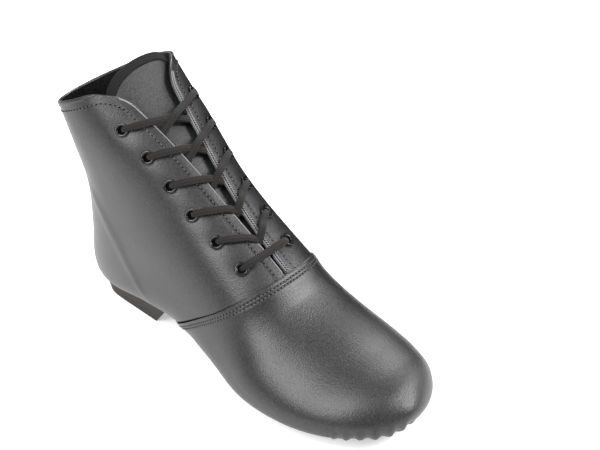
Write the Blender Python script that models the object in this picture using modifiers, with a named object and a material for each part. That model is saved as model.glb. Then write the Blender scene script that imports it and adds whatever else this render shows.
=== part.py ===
"""Lace-up jazz ankle boot for the right foot, in metres, +Z up, toe towards +X.

The lateral (outer) side is -Y and the medial (inner) side is +Y. The boot stands on its heel and on its
forefoot sole, both on z = 0, with the leather arch between them lifted. The upper is a loft through sections
that fan out from the toe, over the instep, to the collar. Every other piece is laid on the same last surface.
"""

import math
from collections import namedtuple

import bmesh
import bpy
import numpy as np
from mathutils import Matrix

# Driving dimensions of the last
LENGTH = 0.250
BALL_WIDTH = 0.088
INSTEP_HEIGHT = 0.060
HEEL_HEIGHT = 0.0085

# Leather, rubber and the gap that touching pieces keep
WALL = 0.0016
GAP = 0.0003
SOLE_THICKNESS = 0.0036
INSOLE_THICKNESS = 0.0018
INSOLE_GAP = 0.0009
TONGUE_THICKNESS = 0.0014
TONGUE_GAP = 0.0026

# Vamp edge, throat and collar. A rise is a length along the instep, up from the vamp seam.
SEAM_STEP = 0.0009
SEAM_RAMP = 0.0008
SEAM_FADE = 0.012
THROAT_HALF_GAP = 0.0012
THROAT_FLARE = 0.0110
THROAT_FLARE_RISE = 0.112
COLLAR_CORNER = 0.017

# Eyelets and lace
EYELETS = 6
EYELET_FIRST_RISE = 0.0155
EYELET_PITCH = 0.0194
EYELET_INSET = 0.0143
EYELET_LATERAL_SHIFTS = (0.0004, 0.0012, 0.0028, 0.0042, 0.0036, 0.0024)
EYELET_BORE = 0.0022
EYELET_BARREL = 0.0027
EYELET_CROWN_RADIUS = 0.0031
EYELET_FLANGE = 0.0040
EYELET_CROWN = 0.0007
EYELET_SHOULDER = 0.0004
EYELET_RIM_ROUND = 0.0002
EYELET_DEPTH = 0.0021
EYELET_HOLE_LENGTH = 0.0128
LACE_WIDTH = 0.0038
LACE_THICKNESS = 0.0020
LACE_HEIGHT = 0.0026
LACE_OVER = 0.0012

# Tongue and its binding
TONGUE_FOOT_HALF_WIDTH = 0.018
TONGUE_HALF_WIDTH = 0.0305
TONGUE_LEAN = 0.007
TONGUE_FOOT_RISE = -0.012
TONGUE_TOP_RISE = 0.1408
TONGUE_TOP_ROUND = 0.020
BINDING_GAP = 0.0006
BINDING_WIDTH = 0.0036
BINDING_PROUD = 0.0004
BINDING_TAIL = 0.020

# Mesh density: rows run along a piece and columns across it
SECTION_STEPS = 181
STEPS_PER_SECTION = 30
TOE_ROWS = (0, 0.15, 0.35, 0.65, 1.0)
VAMP_START = 1.3
VAMP_ROWS = 18
QUARTER_ROWS = 16
CORNER_ROWS = 5
HALF_COLUMNS = 14
SOLE_ROWS = 18
SOLE_COLUMNS = 7
HEEL_ROWS = 12
HEEL_COLUMNS = 6
INSOLE_ROWS = 23
INSOLE_COLUMNS = 6
TONGUE_ROWS = 12
TONGUE_COLUMNS = 9
TONGUE_TURNS = 6
BINDING_TAIL_ROWS = 3
BINDING_COLUMNS = 4
EYELET_SIDES = 12
HOLE_SIDES = 16
LACE_STATIONS = 7
LACE_SIDES = 8
SHARP_ANGLE = math.radians(40)
WELD = 1e-6
TINY = 1e-12

# A row for each section of the last. The x columns are shares of LENGTH, the rise columns shares of
# INSTEP_HEIGHT, lift the share of HEEL_HEIGHT under the section, lateral and medial half widths as shares of
# BALL_WIDTH. widest is where, from top to low point, the section is widest. round_top and round_low are the
# powers of its upper and lower oval: 2 is an ellipse, more is squarer.
Section = namedtuple(
    "Section",
    "name top_x top_rise low_x low_rise lift lateral medial widest round_top round_low",
)
SECTIONS = (
    Section("toe tip", 1.000, 0.333, 1.000, 0.333, 0.00, 0.000, 0.000, 0.60, 2.00, 2.4),
    Section("toe end", 0.966, 0.467, 0.986, 0.180, 0.00, 0.199, 0.205, 0.60, 2.00, 2.5),
    Section("toes", 0.924, 0.542, 0.942, 0.127, 0.00, 0.330, 0.355, 0.60, 2.00, 2.8),
    Section("toe joints", 0.872, 0.590, 0.866, 0.083, 0.00, 0.439, 0.439, 0.62, 2.00, 3.2),
    Section("ball front", 0.812, 0.653, 0.760, 0.062, 0.00, 0.509, 0.480, 0.62, 2.00, 3.5),
    Section("ball", 0.752, 0.763, 0.626, 0.063, 0.00, 0.523, 0.473, 0.58, 2.10, 3.5),
    Section("waist front", 0.698, 0.867, 0.484, 0.075, 0.35, 0.460, 0.432, 0.51, 2.30, 3.2),
    Section("vamp seam", 0.646, 1.000, 0.344, 0.094, 0.75, 0.420, 0.398, 0.46, 2.60, 2.8),
    Section("arch", 0.582, 1.167, 0.216, 0.047, 1.00, 0.409, 0.384, 0.44, 2.80, 3.3),
    Section("heel seat", 0.516, 1.387, 0.086, 0.000, 1.00, 0.402, 0.380, 0.44, 2.90, 3.9),
    Section("heel back", 0.454, 1.622, 0.000, 0.093, 1.00, 0.391, 0.382, 0.44, 2.90, 2.7),
    Section("ankle", 0.398, 1.842, 0.018, 0.562, 1.00, 0.386, 0.388, 0.43, 2.85, 2.3),
    Section("tendon", 0.345, 2.045, 0.048, 1.115, 1.00, 0.391, 0.397, 0.44, 2.75, 2.1),
    Section("shaft", 0.292, 2.238, 0.040, 1.603, 1.00, 0.397, 0.403, 0.48, 2.65, 2.0),
    Section("collar", 0.238, 2.450, 0.032, 2.092, 1.00, 0.395, 0.409, 0.54, 2.55, 2.0),
)
SEAM = 7
COLLAR = len(SECTIONS) - 1

# Pieces laid on the underside of the last, as row numbers from front to back, a half width as a share of the
# last's own, and the power that rounds the ends of their outline.
Tread = namedtuple("Tread", "name front back share power")
FOREFOOT_SOLE = Tread("forefoot_sole", 2.10, 6.05, 0.77, 2.6)
FOREFOOT_OPENING = Tread("forefoot opening", 2.75, 5.6, 0.52, 2.5)
HEEL_OPENING = Tread("heel opening", 8.1, 9.55, 0.42, 2.5)
INSOLE = Tread("insole", 1.5, 9.45, 0.64, 4.0)
HEEL_TOP = Tread("heel", 7.40, 9.88, 0.717, 8.0)
HEEL_FOOT_FRONT = 0.0645
HEEL_FOOT_BACK = 0.006
HEEL_FOOT_NARROWING = 0.93

LEATHER = ("black_leather", (0.018, 0.018, 0.019), 0.42, 0.0)
LEATHER_LINING = ("tongue_leather", (0.020, 0.020, 0.021), 0.45, 0.0)
RUBBER = ("sole_rubber", (0.014, 0.012, 0.011), 0.75, 0.0)
SOCK = ("insole_fabric", (0.030, 0.029, 0.028), 0.90, 0.0)
TAPE = ("binding_tape", (0.016, 0.015, 0.015), 0.85, 0.0)
ENAMEL = ("eyelet_enamel", (0.010, 0.010, 0.011), 0.25, 0.6)
LACE = ("woven_lace", (0.026, 0.023, 0.021), 0.80, 0.0)


# The last surface

def sized(row):
    """One table row in metres: top_x, top_z, low_x, low_z, lateral, medial, then its three shape numbers."""
    lift = row.lift * HEEL_HEIGHT
    return (
        row.top_x * LENGTH,
        row.top_rise * INSTEP_HEIGHT + lift,
        row.low_x * LENGTH,
        row.low_rise * INSTEP_HEIGHT + lift,
        row.lateral * BALL_WIDTH,
        row.medial * BALL_WIDTH,
        row.widest,
        row.round_top,
        row.round_low,
    )


LAST = np.array([sized(row) for row in SECTIONS])

# In front of the toe tip the curves go on into their opposites, so that the tip is round: the top line into the
# low line, and each half width into its negative.
TOP_AND_LOW_SWAPPED = [2, 3, 0, 1, 4, 5, 6, 7, 8]
WIDTHS_TURNED = np.array([1, 1, 1, 1, -1, -1, 1, 1, 1])
BEFORE_TOE = LAST[1][TOP_AND_LOW_SWAPPED] * WIDTHS_TURNED
PAST_COLLAR = 2 * LAST[-1] - LAST[-2]
KNOTS = np.vstack([BEFORE_TOE, LAST, PAST_COLLAR])


def section_at(u):
    """Sizes of the section at row number u, on a smooth curve through the rows, straight on past the collar."""
    if u > COLLAR:
        return LAST[-1] + (u - COLLAR) * (LAST[-1] - LAST[-2])
    k = min(int(u), COLLAR - 1)
    t = u - k
    a, b, c, d = KNOTS[k:k + 4]
    bend = 2 * a - 5 * b + 4 * c - d
    return b + 0.5 * t * (c - a + t * (bend + t * (3 * (b - c) + d - a)))


def half_section(u, side):
    """Points of half a section, from its top point down one side (-1 lateral, 1 medial) to its low point."""
    top_x, top_z, low_x, low_z, lateral, medial, widest, round_top, round_low = section_at(u)
    turn = np.linspace(0, math.pi, SECTION_STEPS)
    power = 2 / np.where(np.cos(turn) >= 0, round_top, round_low)
    upright = np.abs(np.cos(turn)) ** power
    share = np.where(np.cos(turn) >= 0, widest * (1 - upright), widest + (1 - widest) * upright)
    half_width = medial if side > 0 else lateral
    y = side * half_width * np.abs(np.sin(turn)) ** power
    return np.stack([top_x + (low_x - top_x) * share, y, top_z + (low_z - top_z) * share], axis=1)


def lengths_along(points):
    steps = np.linalg.norm(np.diff(points, axis=0), axis=1)
    return np.concatenate([[0], np.cumsum(steps)])


def half_girth(u, side):
    return lengths_along(half_section(u, side))[-1]


def at_shares(u, side, shares):
    """Points of a half section at shares of its girth."""
    points = half_section(u, side)
    along = lengths_along(points)
    return np.stack([np.interp(shares * along[-1], along, points[:, k]) for k in range(3)], axis=1)


def even_turns(u, side, start, end, columns):
    """Shares of the half girth from start to end, closer together where the section turns more."""
    points = half_section(u, side)
    along = lengths_along(points)
    steps = np.diff(points, axis=0)
    steps = steps / np.maximum(np.linalg.norm(steps, axis=1, keepdims=True), TINY)
    turned = np.arccos(np.clip((steps[1:] * steps[:-1]).sum(axis=1), -1, 1))
    turned = np.concatenate([[0], np.cumsum(turned), [turned.sum()]])
    measure = along / along[-1] + turned / turned[-1]
    ends = np.interp([start * along[-1], end * along[-1]], along, measure)
    return np.interp(np.linspace(*ends, columns), measure, along / along[-1])


def outward(u, side, shares):
    """Unit normals of the last at shares of the half girth."""
    du = 0.02
    dv = 0.004
    below = max(u - du, 0)
    along = at_shares(u + du, side, shares) - at_shares(below, side, shares)
    down = at_shares(u, side, np.minimum(shares + dv, 1)) - at_shares(u, side, np.maximum(shares - dv, 0))
    normal = side * np.cross(down, along)
    normal[(shares <= 0) | (shares >= 1), 1] = 0
    size = np.linalg.norm(normal, axis=1, keepdims=True)
    ahead = np.array([1.0, 0.0, 0.0])
    return np.where(size > TINY, normal / np.maximum(size, TINY), ahead)


def on_last(u, side, shares, out):
    """Points at shares of the half girth, moved out from the last surface by out."""
    shares = np.asarray(shares, float)
    return at_shares(u, side, shares) + outward(u, side, shares) * out


ROWS_ALONG = np.linspace(0, COLLAR + 1, STEPS_PER_SECTION * (COLLAR + 1) + 1)
TOP_LINE = np.array([section_at(u)[:2] for u in ROWS_ALONG])
RISES = lengths_along(TOP_LINE)
RISES = RISES - np.interp(SEAM, ROWS_ALONG, RISES)
COLLAR_RISE = np.interp(COLLAR, ROWS_ALONG, RISES)


def row_at(rise):
    return float(np.interp(rise, RISES, ROWS_ALONG))


def rise_at(u):
    return float(np.interp(u, ROWS_ALONG, RISES))


def on_instep(rise, across, out):
    """The point at a rise up the instep and a girth distance across it (negative is lateral), and its normal."""
    u = row_at(rise)
    side = 1 if across >= 0 else -1
    share = np.array([abs(across) / half_girth(u, side)])
    normal = outward(u, side, share)[0]
    return at_shares(u, side, share)[0] + normal * out, normal


# The throat, the vamp edge and the openings underneath

def throat_gap(rise):
    """Girth distance from the middle of the throat to the facing's edge, with the round corner at the collar."""
    gap = THROAT_HALF_GAP + THROAT_FLARE * (max(rise, 0) / THROAT_FLARE_RISE) ** 2
    into_corner = min(max(rise - (COLLAR_RISE - COLLAR_CORNER), 0), COLLAR_CORNER)
    return gap + COLLAR_CORNER - math.sqrt(COLLAR_CORNER ** 2 - into_corner ** 2)


def vamp_step(rise):
    """How far the vamp stands over the quarters: full at its edge, fading towards the toe."""
    if rise > 0:
        return max(0.0, 1 - rise / SEAM_RAMP) * SEAM_STEP
    fade = min(-rise / SEAM_FADE, 1)
    return SEAM_STEP * (1 - fade * fade * (3 - 2 * fade))


def tread_share(tread, u):
    """Half width of a piece under the foot at row u, as a share of the last's half width."""
    middle = (tread.front + tread.back) / 2
    half = (tread.back - tread.front) / 2
    off = min(abs(u - middle) / half, 1)
    return tread.share * (1 - off ** tread.power) ** (1 / tread.power)


def low_share(u, side, width_share):
    """Share of the half girth where the underside is this share of the half width from the middle."""
    points = half_section(u, side)
    along = lengths_along(points)
    widest = int(np.argmax(np.abs(points[:, 1])))
    across = np.abs(points[widest:, 1])[::-1]
    target = width_share * np.abs(points[widest, 1])
    return float(np.interp(target, across, along[widest:][::-1])) / along[-1]


def underside(tread, rows, columns, out, sides=(-1, 1)):
    """Grid of points under the last inside a tread's outline, front to back and lateral to medial."""
    spread = (1 - np.cos(np.linspace(0, math.pi, rows))) / 2
    grid = []
    for u in tread.front + (tread.back - tread.front) * spread:
        width = tread_share(tread, u)
        halves = []
        for side in sides:
            edge = low_share(u, side, width)
            shares = np.linspace(1, edge, columns)
            halves.append(on_last(u, side, shares, out))
        grid.append(np.vstack([halves[0][::-1], halves[1][1:]]))
    return np.array(grid)


# Mesh helpers

def material(look):
    name, colour, roughness, metallic = look
    made = bpy.data.materials.get(name) or bpy.data.materials.new(name)
    made.use_nodes = True
    shader = made.node_tree.nodes["Principled BSDF"]
    shader.inputs["Base Color"].default_value = (*colour, 1)
    shader.inputs["Roughness"].default_value = roughness
    shader.inputs["Metallic"].default_value = metallic
    return made


def add_object(name, mesh, look, collection, root):
    obj = bpy.data.objects.new(name, mesh)
    mesh.materials.clear()
    mesh.materials.append(material(look))
    collection.objects.link(obj)
    obj.parent = root
    return obj


def hide_helper(obj):
    obj.hide_render = True
    obj.display_type = "WIRE"


def add_grid(bm, grid):
    """Quads over a grid of points."""
    rows = [[bm.verts.new(point) for point in line] for line in grid]
    for line, following in zip(rows, rows[1:]):
        for j in range(len(line) - 1):
            bm.faces.new((line[j], line[j + 1], following[j + 1], following[j]))


def finished(bm, name, closed):
    """Welds the points, turns a closed mesh's faces outwards and shades it smooth."""
    bmesh.ops.remove_doubles(bm, verts=bm.verts, dist=WELD)
    if closed:
        bmesh.ops.recalc_face_normals(bm, faces=bm.faces)
    mesh = bpy.data.meshes.new(name)
    bm.to_mesh(mesh)
    bm.free()
    mesh.shade_smooth()
    mesh.set_sharp_from_angle(angle=SHARP_ANGLE)
    return mesh


def sheet_mesh(name, grids):
    bm = bmesh.new()
    for grid in grids:
        add_grid(bm, grid)
    return finished(bm, name, closed=False)


def border(grid):
    """The points round a grid's edge, in order, back to the first."""
    right = [line[-1] for line in grid[1:]]
    left = [line[0] for line in grid[-2::-1]]
    return list(grid[0]) + right + list(grid[-1][-2::-1]) + left


def block_mesh(name, top, bottom):
    """A closed solid between two grids of the same layout."""
    bm = bmesh.new()
    add_grid(bm, top)
    add_grid(bm, [line[::-1] for line in bottom])
    add_grid(bm, [border(bottom), border(top)])
    return finished(bm, name, closed=True)


def thicken(obj, thickness):
    """Gives an open sheet its thickness, inwards from its outer face."""
    wall = obj.modifiers.new("wall", "SOLIDIFY")
    wall.thickness = thickness
    wall.offset = -1
    wall.use_even_offset = True
    wall.use_quality_normals = True


def combine(obj, other, operation):
    boolean = obj.modifiers.new(operation.lower(), "BOOLEAN")
    boolean.operation = operation
    boolean.object = other
    boolean.solver = "EXACT"


# Upper

def upper_rows():
    """Row numbers of the upper's sections: closer at the toe, both sides of the vamp edge and in the corner."""
    vamp = list(np.linspace(VAMP_START, SEAM, VAMP_ROWS))
    edge = row_at(SEAM_RAMP)
    corner_start = row_at(COLLAR_RISE - COLLAR_CORNER)
    quarter = list(np.linspace(edge, corner_start, QUARTER_ROWS))
    turns = np.linspace(0, math.pi / 2, CORNER_ROWS + 1)[1:]
    corner = [row_at(COLLAR_RISE - COLLAR_CORNER * (1 - math.sin(turn))) for turn in turns]
    return list(TOE_ROWS) + vamp + quarter + corner


def opening_share(u):
    return max(tread_share(FOREFOOT_OPENING, u), tread_share(HEEL_OPENING, u))


def upper_half(side):
    """Grid of one half of the upper's outer face, from the throat or top line down to the low line."""
    grid = []
    for u in upper_rows():
        rise = rise_at(u)
        start = throat_gap(rise) / half_girth(u, side) if u > SEAM else 0.0
        end = low_share(u, side, opening_share(u)) if u > 0 else 1.0
        shares = even_turns(max(u, TOE_ROWS[1]), side, start, end, HALF_COLUMNS)
        line = on_last(u, side, shares, vamp_step(rise))
        grid.append(line if side > 0 else line[::-1])
    return np.array(grid)


def normal_frame(normal):
    """Two axes across a normal and the normal itself, as a right-handed frame."""
    first = np.cross([0.0, 1.0, 0.0], normal)
    first = first / np.linalg.norm(first)
    return first, np.cross(normal, first), normal


def eyelet_places():
    """Name, matrix and place on the instep of each eyelet, from the top pair down."""
    places = []
    for side, word in ((-1, "lateral"), (1, "medial")):
        for number in range(1, EYELETS + 1):
            rise = EYELET_FIRST_RISE + (EYELETS - number) * EYELET_PITCH
            inset = EYELET_INSET + (EYELET_LATERAL_SHIFTS[number - 1] if side < 0 else 0)
            across = side * (throat_gap(rise) + inset)
            point, normal = on_instep(rise, across, 0)
            turn = Matrix(np.array(normal_frame(normal)).T.tolist()).to_4x4()
            places.append((f"eyelet_{word}_{number}", Matrix.Translation(point) @ turn, rise, across))
    return places


def make_upper(parts, cutters, root):
    upper = add_object("upper", sheet_mesh("upper", [upper_half(-1), upper_half(1)]), LEATHER, parts, root)
    thicken(upper, WALL)
    bm = bmesh.new()
    for _, place, _, _ in eyelet_places():
        bmesh.ops.create_cone(
            bm,
            cap_ends=True,
            segments=HOLE_SIDES,
            radius1=EYELET_BARREL + GAP,
            radius2=EYELET_BARREL + GAP,
            depth=EYELET_HOLE_LENGTH,
            matrix=place,
        )
    holes = add_object("eyelet_holes", finished(bm, "eyelet_holes", closed=True), LEATHER, cutters, root)
    hide_helper(holes)
    combine(upper, holes, "DIFFERENCE")


# Sole, heel and insole

def make_forefoot_sole(parts, root):
    top = underside(FOREFOOT_SOLE, SOLE_ROWS, SOLE_COLUMNS, GAP)
    bottom = underside(FOREFOOT_SOLE, SOLE_ROWS, SOLE_COLUMNS, GAP + SOLE_THICKNESS)
    bottom[:, :, 2] = np.maximum(bottom[:, :, 2], 0)
    add_object("forefoot_sole", block_mesh("forefoot_sole", top, bottom), RUBBER, parts, root)


def heel_outline_share(u):
    """The heel block's half width: straight at its front, round at its back."""
    back = (u - HEEL_TOP.front) / (HEEL_TOP.back - HEEL_TOP.front)
    return HEEL_TOP.share * math.sqrt(max(1 - back ** HEEL_TOP.power, 0))


def make_heel(parts, root):
    top = []
    for turn in np.linspace(0, math.pi / 2, HEEL_ROWS):
        u = HEEL_TOP.front + (HEEL_TOP.back - HEEL_TOP.front) * math.sin(turn)
        halves = []
        for side in (-1, 1):
            shares = np.linspace(1, low_share(u, side, heel_outline_share(u)), HEEL_COLUMNS)
            halves.append(on_last(u, side, shares, GAP))
        top.append(np.vstack([halves[0][::-1], halves[1][1:]]))
    top = np.array(top)
    bottom = top.copy()
    front = top[:, :, 0].max()
    back = top[:, :, 0].min()
    along = (top[:, :, 0] - back) / (front - back)
    bottom[:, :, 0] = HEEL_FOOT_BACK + along * (HEEL_FOOT_FRONT - HEEL_FOOT_BACK)
    bottom[:, :, 1] *= HEEL_FOOT_NARROWING
    bottom[:, :, 2] = 0
    add_object("heel", block_mesh("heel", top, bottom), RUBBER, parts, root)


def make_insole(parts, root):
    grid = underside(INSOLE, INSOLE_ROWS, INSOLE_COLUMNS, -(WALL + INSOLE_GAP))
    insole = add_object("insole", sheet_mesh("insole", [grid[:, ::-1]]), SOCK, parts, root)
    thicken(insole, INSOLE_THICKNESS)


# Tongue and binding

def tongue_width(rise):
    """Middle and half width of the tongue, which widens and leans to the medial side towards its top."""
    straight = TONGUE_TOP_RISE - TONGUE_TOP_ROUND - TONGUE_FOOT_RISE
    share = min((rise - TONGUE_FOOT_RISE) / straight, 1)
    half_width = TONGUE_FOOT_HALF_WIDTH + share * (TONGUE_HALF_WIDTH - TONGUE_FOOT_HALF_WIDTH)
    return TONGUE_LEAN * share, half_width


def tongue_line(rise, narrowing, depth, columns):
    """One line across the tongue, lateral to medial."""
    middle, half_width = tongue_width(rise)
    across = middle + half_width * narrowing * np.linspace(-1, 1, columns)
    return np.array([on_instep(rise, distance, -depth)[0] for distance in across])


def make_tongue(parts, root):
    depth = WALL + TONGUE_GAP
    round_start = TONGUE_TOP_RISE - TONGUE_TOP_ROUND
    lines = []
    for rise in np.linspace(TONGUE_FOOT_RISE, round_start, TONGUE_ROWS):
        lines.append(tongue_line(rise, 1, depth, TONGUE_COLUMNS))
    for turn in np.linspace(0, math.pi / 2, TONGUE_TURNS + 1)[1:]:
        rise = round_start + TONGUE_TOP_ROUND * math.sin(turn)
        lines.append(tongue_line(rise, max(math.cos(turn), 0), depth, TONGUE_COLUMNS))
    tongue = add_object("tongue", sheet_mesh("tongue", [np.array(lines)]), LEATHER_LINING, parts, root)
    thicken(tongue, TONGUE_THICKNESS)


def make_binding(parts, root):
    """The tape round the tongue's top: down one side, round the top and down the other."""
    depth = WALL + TONGUE_GAP - BINDING_PROUD
    round_start = TONGUE_TOP_RISE - TONGUE_TOP_ROUND
    turns = np.linspace(0, math.pi, 2 * TONGUE_TURNS + 1)
    tail = round_start - np.linspace(BINDING_TAIL, 0, BINDING_TAIL_ROWS, endpoint=False)
    lines = []
    for spread in np.linspace(BINDING_GAP, BINDING_WIDTH, BINDING_COLUMNS):
        tip = TONGUE_TOP_ROUND + spread
        places = []
        for rise in tail:
            middle, half_width = tongue_width(rise)
            places.append((rise, middle - half_width - spread))
        for turn in turns:
            across = TONGUE_LEAN - (TONGUE_HALF_WIDTH + spread) * math.cos(turn)
            places.append((round_start + tip * math.sin(turn), across))
        for rise in tail[::-1]:
            middle, half_width = tongue_width(rise)
            places.append((rise, middle + half_width + spread))
        lines.append([on_instep(rise, across, -depth)[0] for rise, across in places])
    binding = sheet_mesh("tongue_binding", [np.array(lines)])
    obj = add_object("tongue_binding", binding, TAPE, parts, root)
    thicken(obj, TONGUE_THICKNESS + 2 * BINDING_PROUD)


# Eyelets and lace

def eyelet_profile():
    """Half of an eyelet's cut face, as radius and height: down its outer side, then up its bore."""
    return (
        (EYELET_CROWN_RADIUS, GAP + EYELET_CROWN),
        (EYELET_FLANGE - EYELET_RIM_ROUND, GAP + EYELET_SHOULDER),
        (EYELET_FLANGE, GAP),
        (EYELET_BARREL, GAP),
        (EYELET_BARREL, -EYELET_DEPTH),
        (EYELET_BORE, -EYELET_DEPTH),
        (EYELET_BORE, GAP + EYELET_SHOULDER),
    )


def make_eyelets(parts, root):
    profile = eyelet_profile()
    edges = [(i, (i + 1) % len(profile)) for i in range(len(profile))]
    mesh = bpy.data.meshes.new("eyelet")
    mesh.from_pydata([(radius, 0, height) for radius, height in profile], edges, [])
    for name, place, _, _ in eyelet_places():
        ring = add_object(name, mesh, ENAMEL, parts, root)
        ring.matrix_local = place
        turned = ring.modifiers.new("turned", "SCREW")
        turned.steps = EYELET_SIDES
        turned.render_steps = EYELET_SIDES
        turned.use_merge_vertices = True
        turned.merge_threshold = WELD
        turned.use_smooth_shade = True


def lace_mesh(name, places):
    """A flat oval cord through places given as rise, distance across and height over the last."""
    laid = [on_instep(rise, across, height) for rise, across, height in places]
    points = np.array([point for point, _ in laid])
    normals = np.array([normal for _, normal in laid])
    ahead = np.gradient(points, axis=0)
    sideways = np.cross(ahead, normals)
    sideways /= np.linalg.norm(sideways, axis=1, keepdims=True)
    up = np.cross(sideways, ahead)
    up /= np.linalg.norm(up, axis=1, keepdims=True)
    turns = np.linspace(0, 2 * math.pi, LACE_SIDES + 1)[:, None]
    wide_share = np.cos(turns) * LACE_WIDTH / 2
    high_share = np.sin(turns) * LACE_THICKNESS / 2
    rings = [point + wide_share * wide + high_share * high for point, wide, high in zip(points, sideways, up)]
    bm = bmesh.new()
    add_grid(bm, rings)
    for ring in (rings[0], rings[-1]):
        bm.faces.new([bm.verts.new(point) for point in ring[:-1]])
    return finished(bm, name, closed=True)


def straight_run(start, end, arch, stations):
    """Places along a straight run over the instep, arched up in its middle."""
    shares = np.linspace(0, 1, stations)
    rises = start[0] + (end[0] - start[0]) * shares
    across = start[1] + (end[1] - start[1]) * shares
    heights = LACE_HEIGHT + arch * np.sin(math.pi * shares)
    return list(zip(rises, across, heights))


def make_lace(parts, cutters, root):
    places = {name: (rise, across) for name, _, rise, across in eyelet_places()}
    low_left = places[f"eyelet_lateral_{EYELETS}"]
    low_right = places[f"eyelet_medial_{EYELETS}"]
    bar = lace_mesh("lace_bar", straight_run(low_left, low_right, 0, LACE_STATIONS))
    add_object("lace_bar", bar, LACE, parts, root)
    for number in range(1, EYELETS):
        runs = []
        for side, word, other in ((-1, "lateral", "medial"), (1, "medial", "lateral")):
            start = places[f"eyelet_{word}_{number}"]
            target = places[f"eyelet_{other}_{number + 1}"]
            far_edge = -side * (throat_gap((start[0] + target[0]) / 2) + LACE_WIDTH / 2)
            share = (far_edge - start[1]) / (target[1] - start[1])
            end = (start[0] + (target[0] - start[0]) * share, far_edge)
            runs.append(straight_run(start, end, LACE_OVER if side > 0 else 0, LACE_STATIONS))
        under = add_object(f"lace_cross_{number}", lace_mesh("lace_under", runs[0]), LACE, parts, root)
        over = add_object(f"lace_over_{number}", lace_mesh("lace_over", runs[1]), LACE, cutters, root)
        hide_helper(over)
        combine(under, over, "UNION")


def clear_scene():
    for obj in list(bpy.data.objects):
        bpy.data.objects.remove(obj, do_unlink=True)


def centre_on_floor(root, parts):
    """Moves the whole boot so that the middle of its outline stands over the origin."""
    points = np.array([obj.matrix_world @ v.co for obj in parts.objects for v in obj.data.vertices])
    middle = (points.min(axis=0) + points.max(axis=0)) / 2
    root.location = (-middle[0], -middle[1], 0)


def main():
    clear_scene()
    scene = bpy.context.scene
    parts = bpy.data.collections.new("jazz_boot")
    cutters = bpy.data.collections.new("jazz_boot_cutters")
    scene.collection.children.link(parts)
    scene.collection.children.link(cutters)
    root = bpy.data.objects.new("boot_root", None)
    scene.collection.objects.link(root)
    make_upper(parts, cutters, root)
    make_forefoot_sole(parts, root)
    make_heel(parts, root)
    make_insole(parts, root)
    make_tongue(parts, root)
    make_binding(parts, root)
    make_eyelets(parts, root)
    make_lace(parts, cutters, root)
    bpy.context.view_layer.update()
    centre_on_floor(root, parts)


main()
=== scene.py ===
# %% [markdown]
# # A lace-up jazz boot in black leather
#
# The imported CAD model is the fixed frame: a hollow upper, a forefoot sole, a heel, an insole, a tongue
# with its binding, eyelets and the lace's crossings. It is in metres, the toe points to +X, the inner
# side of the foot is +Y and the boot stands on z = 0. This script keeps those forms and gives them what
# the solids leave out: a finer leather surface with its seams, stitches and gathers, a lace that runs
# through its eyelets, and the finishes.

# %% Load the frame
import math
from collections import namedtuple

import bpy
import numpy as np
from mathutils import Matrix, Vector


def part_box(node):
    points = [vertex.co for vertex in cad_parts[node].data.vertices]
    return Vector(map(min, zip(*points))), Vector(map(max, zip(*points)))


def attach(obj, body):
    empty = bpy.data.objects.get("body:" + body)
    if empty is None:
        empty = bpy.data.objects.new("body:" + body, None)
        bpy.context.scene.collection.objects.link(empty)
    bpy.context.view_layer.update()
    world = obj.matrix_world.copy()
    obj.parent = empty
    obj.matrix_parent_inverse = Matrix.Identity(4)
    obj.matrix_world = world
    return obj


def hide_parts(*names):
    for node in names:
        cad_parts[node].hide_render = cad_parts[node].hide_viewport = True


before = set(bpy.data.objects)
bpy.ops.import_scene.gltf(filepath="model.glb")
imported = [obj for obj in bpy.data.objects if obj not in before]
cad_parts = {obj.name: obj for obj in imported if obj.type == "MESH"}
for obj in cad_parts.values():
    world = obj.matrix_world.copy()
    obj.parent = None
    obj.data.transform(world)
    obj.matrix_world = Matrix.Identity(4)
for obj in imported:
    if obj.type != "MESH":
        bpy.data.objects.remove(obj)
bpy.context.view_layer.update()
MM = 0.001


# %% [markdown]
# ## The last
#
# A shoemaker stretches the leather over a last, a solid foot form. One smooth surface stands for it here,
# so that every seam and stitch can be laid on it by measure. Sections fan out from the toe over the
# instep to the collar, and a smooth curve runs through their sizes. The table has the same rows as the
# CAD part's. Sculpting would start quicker, but nothing could be measured on it.

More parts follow.
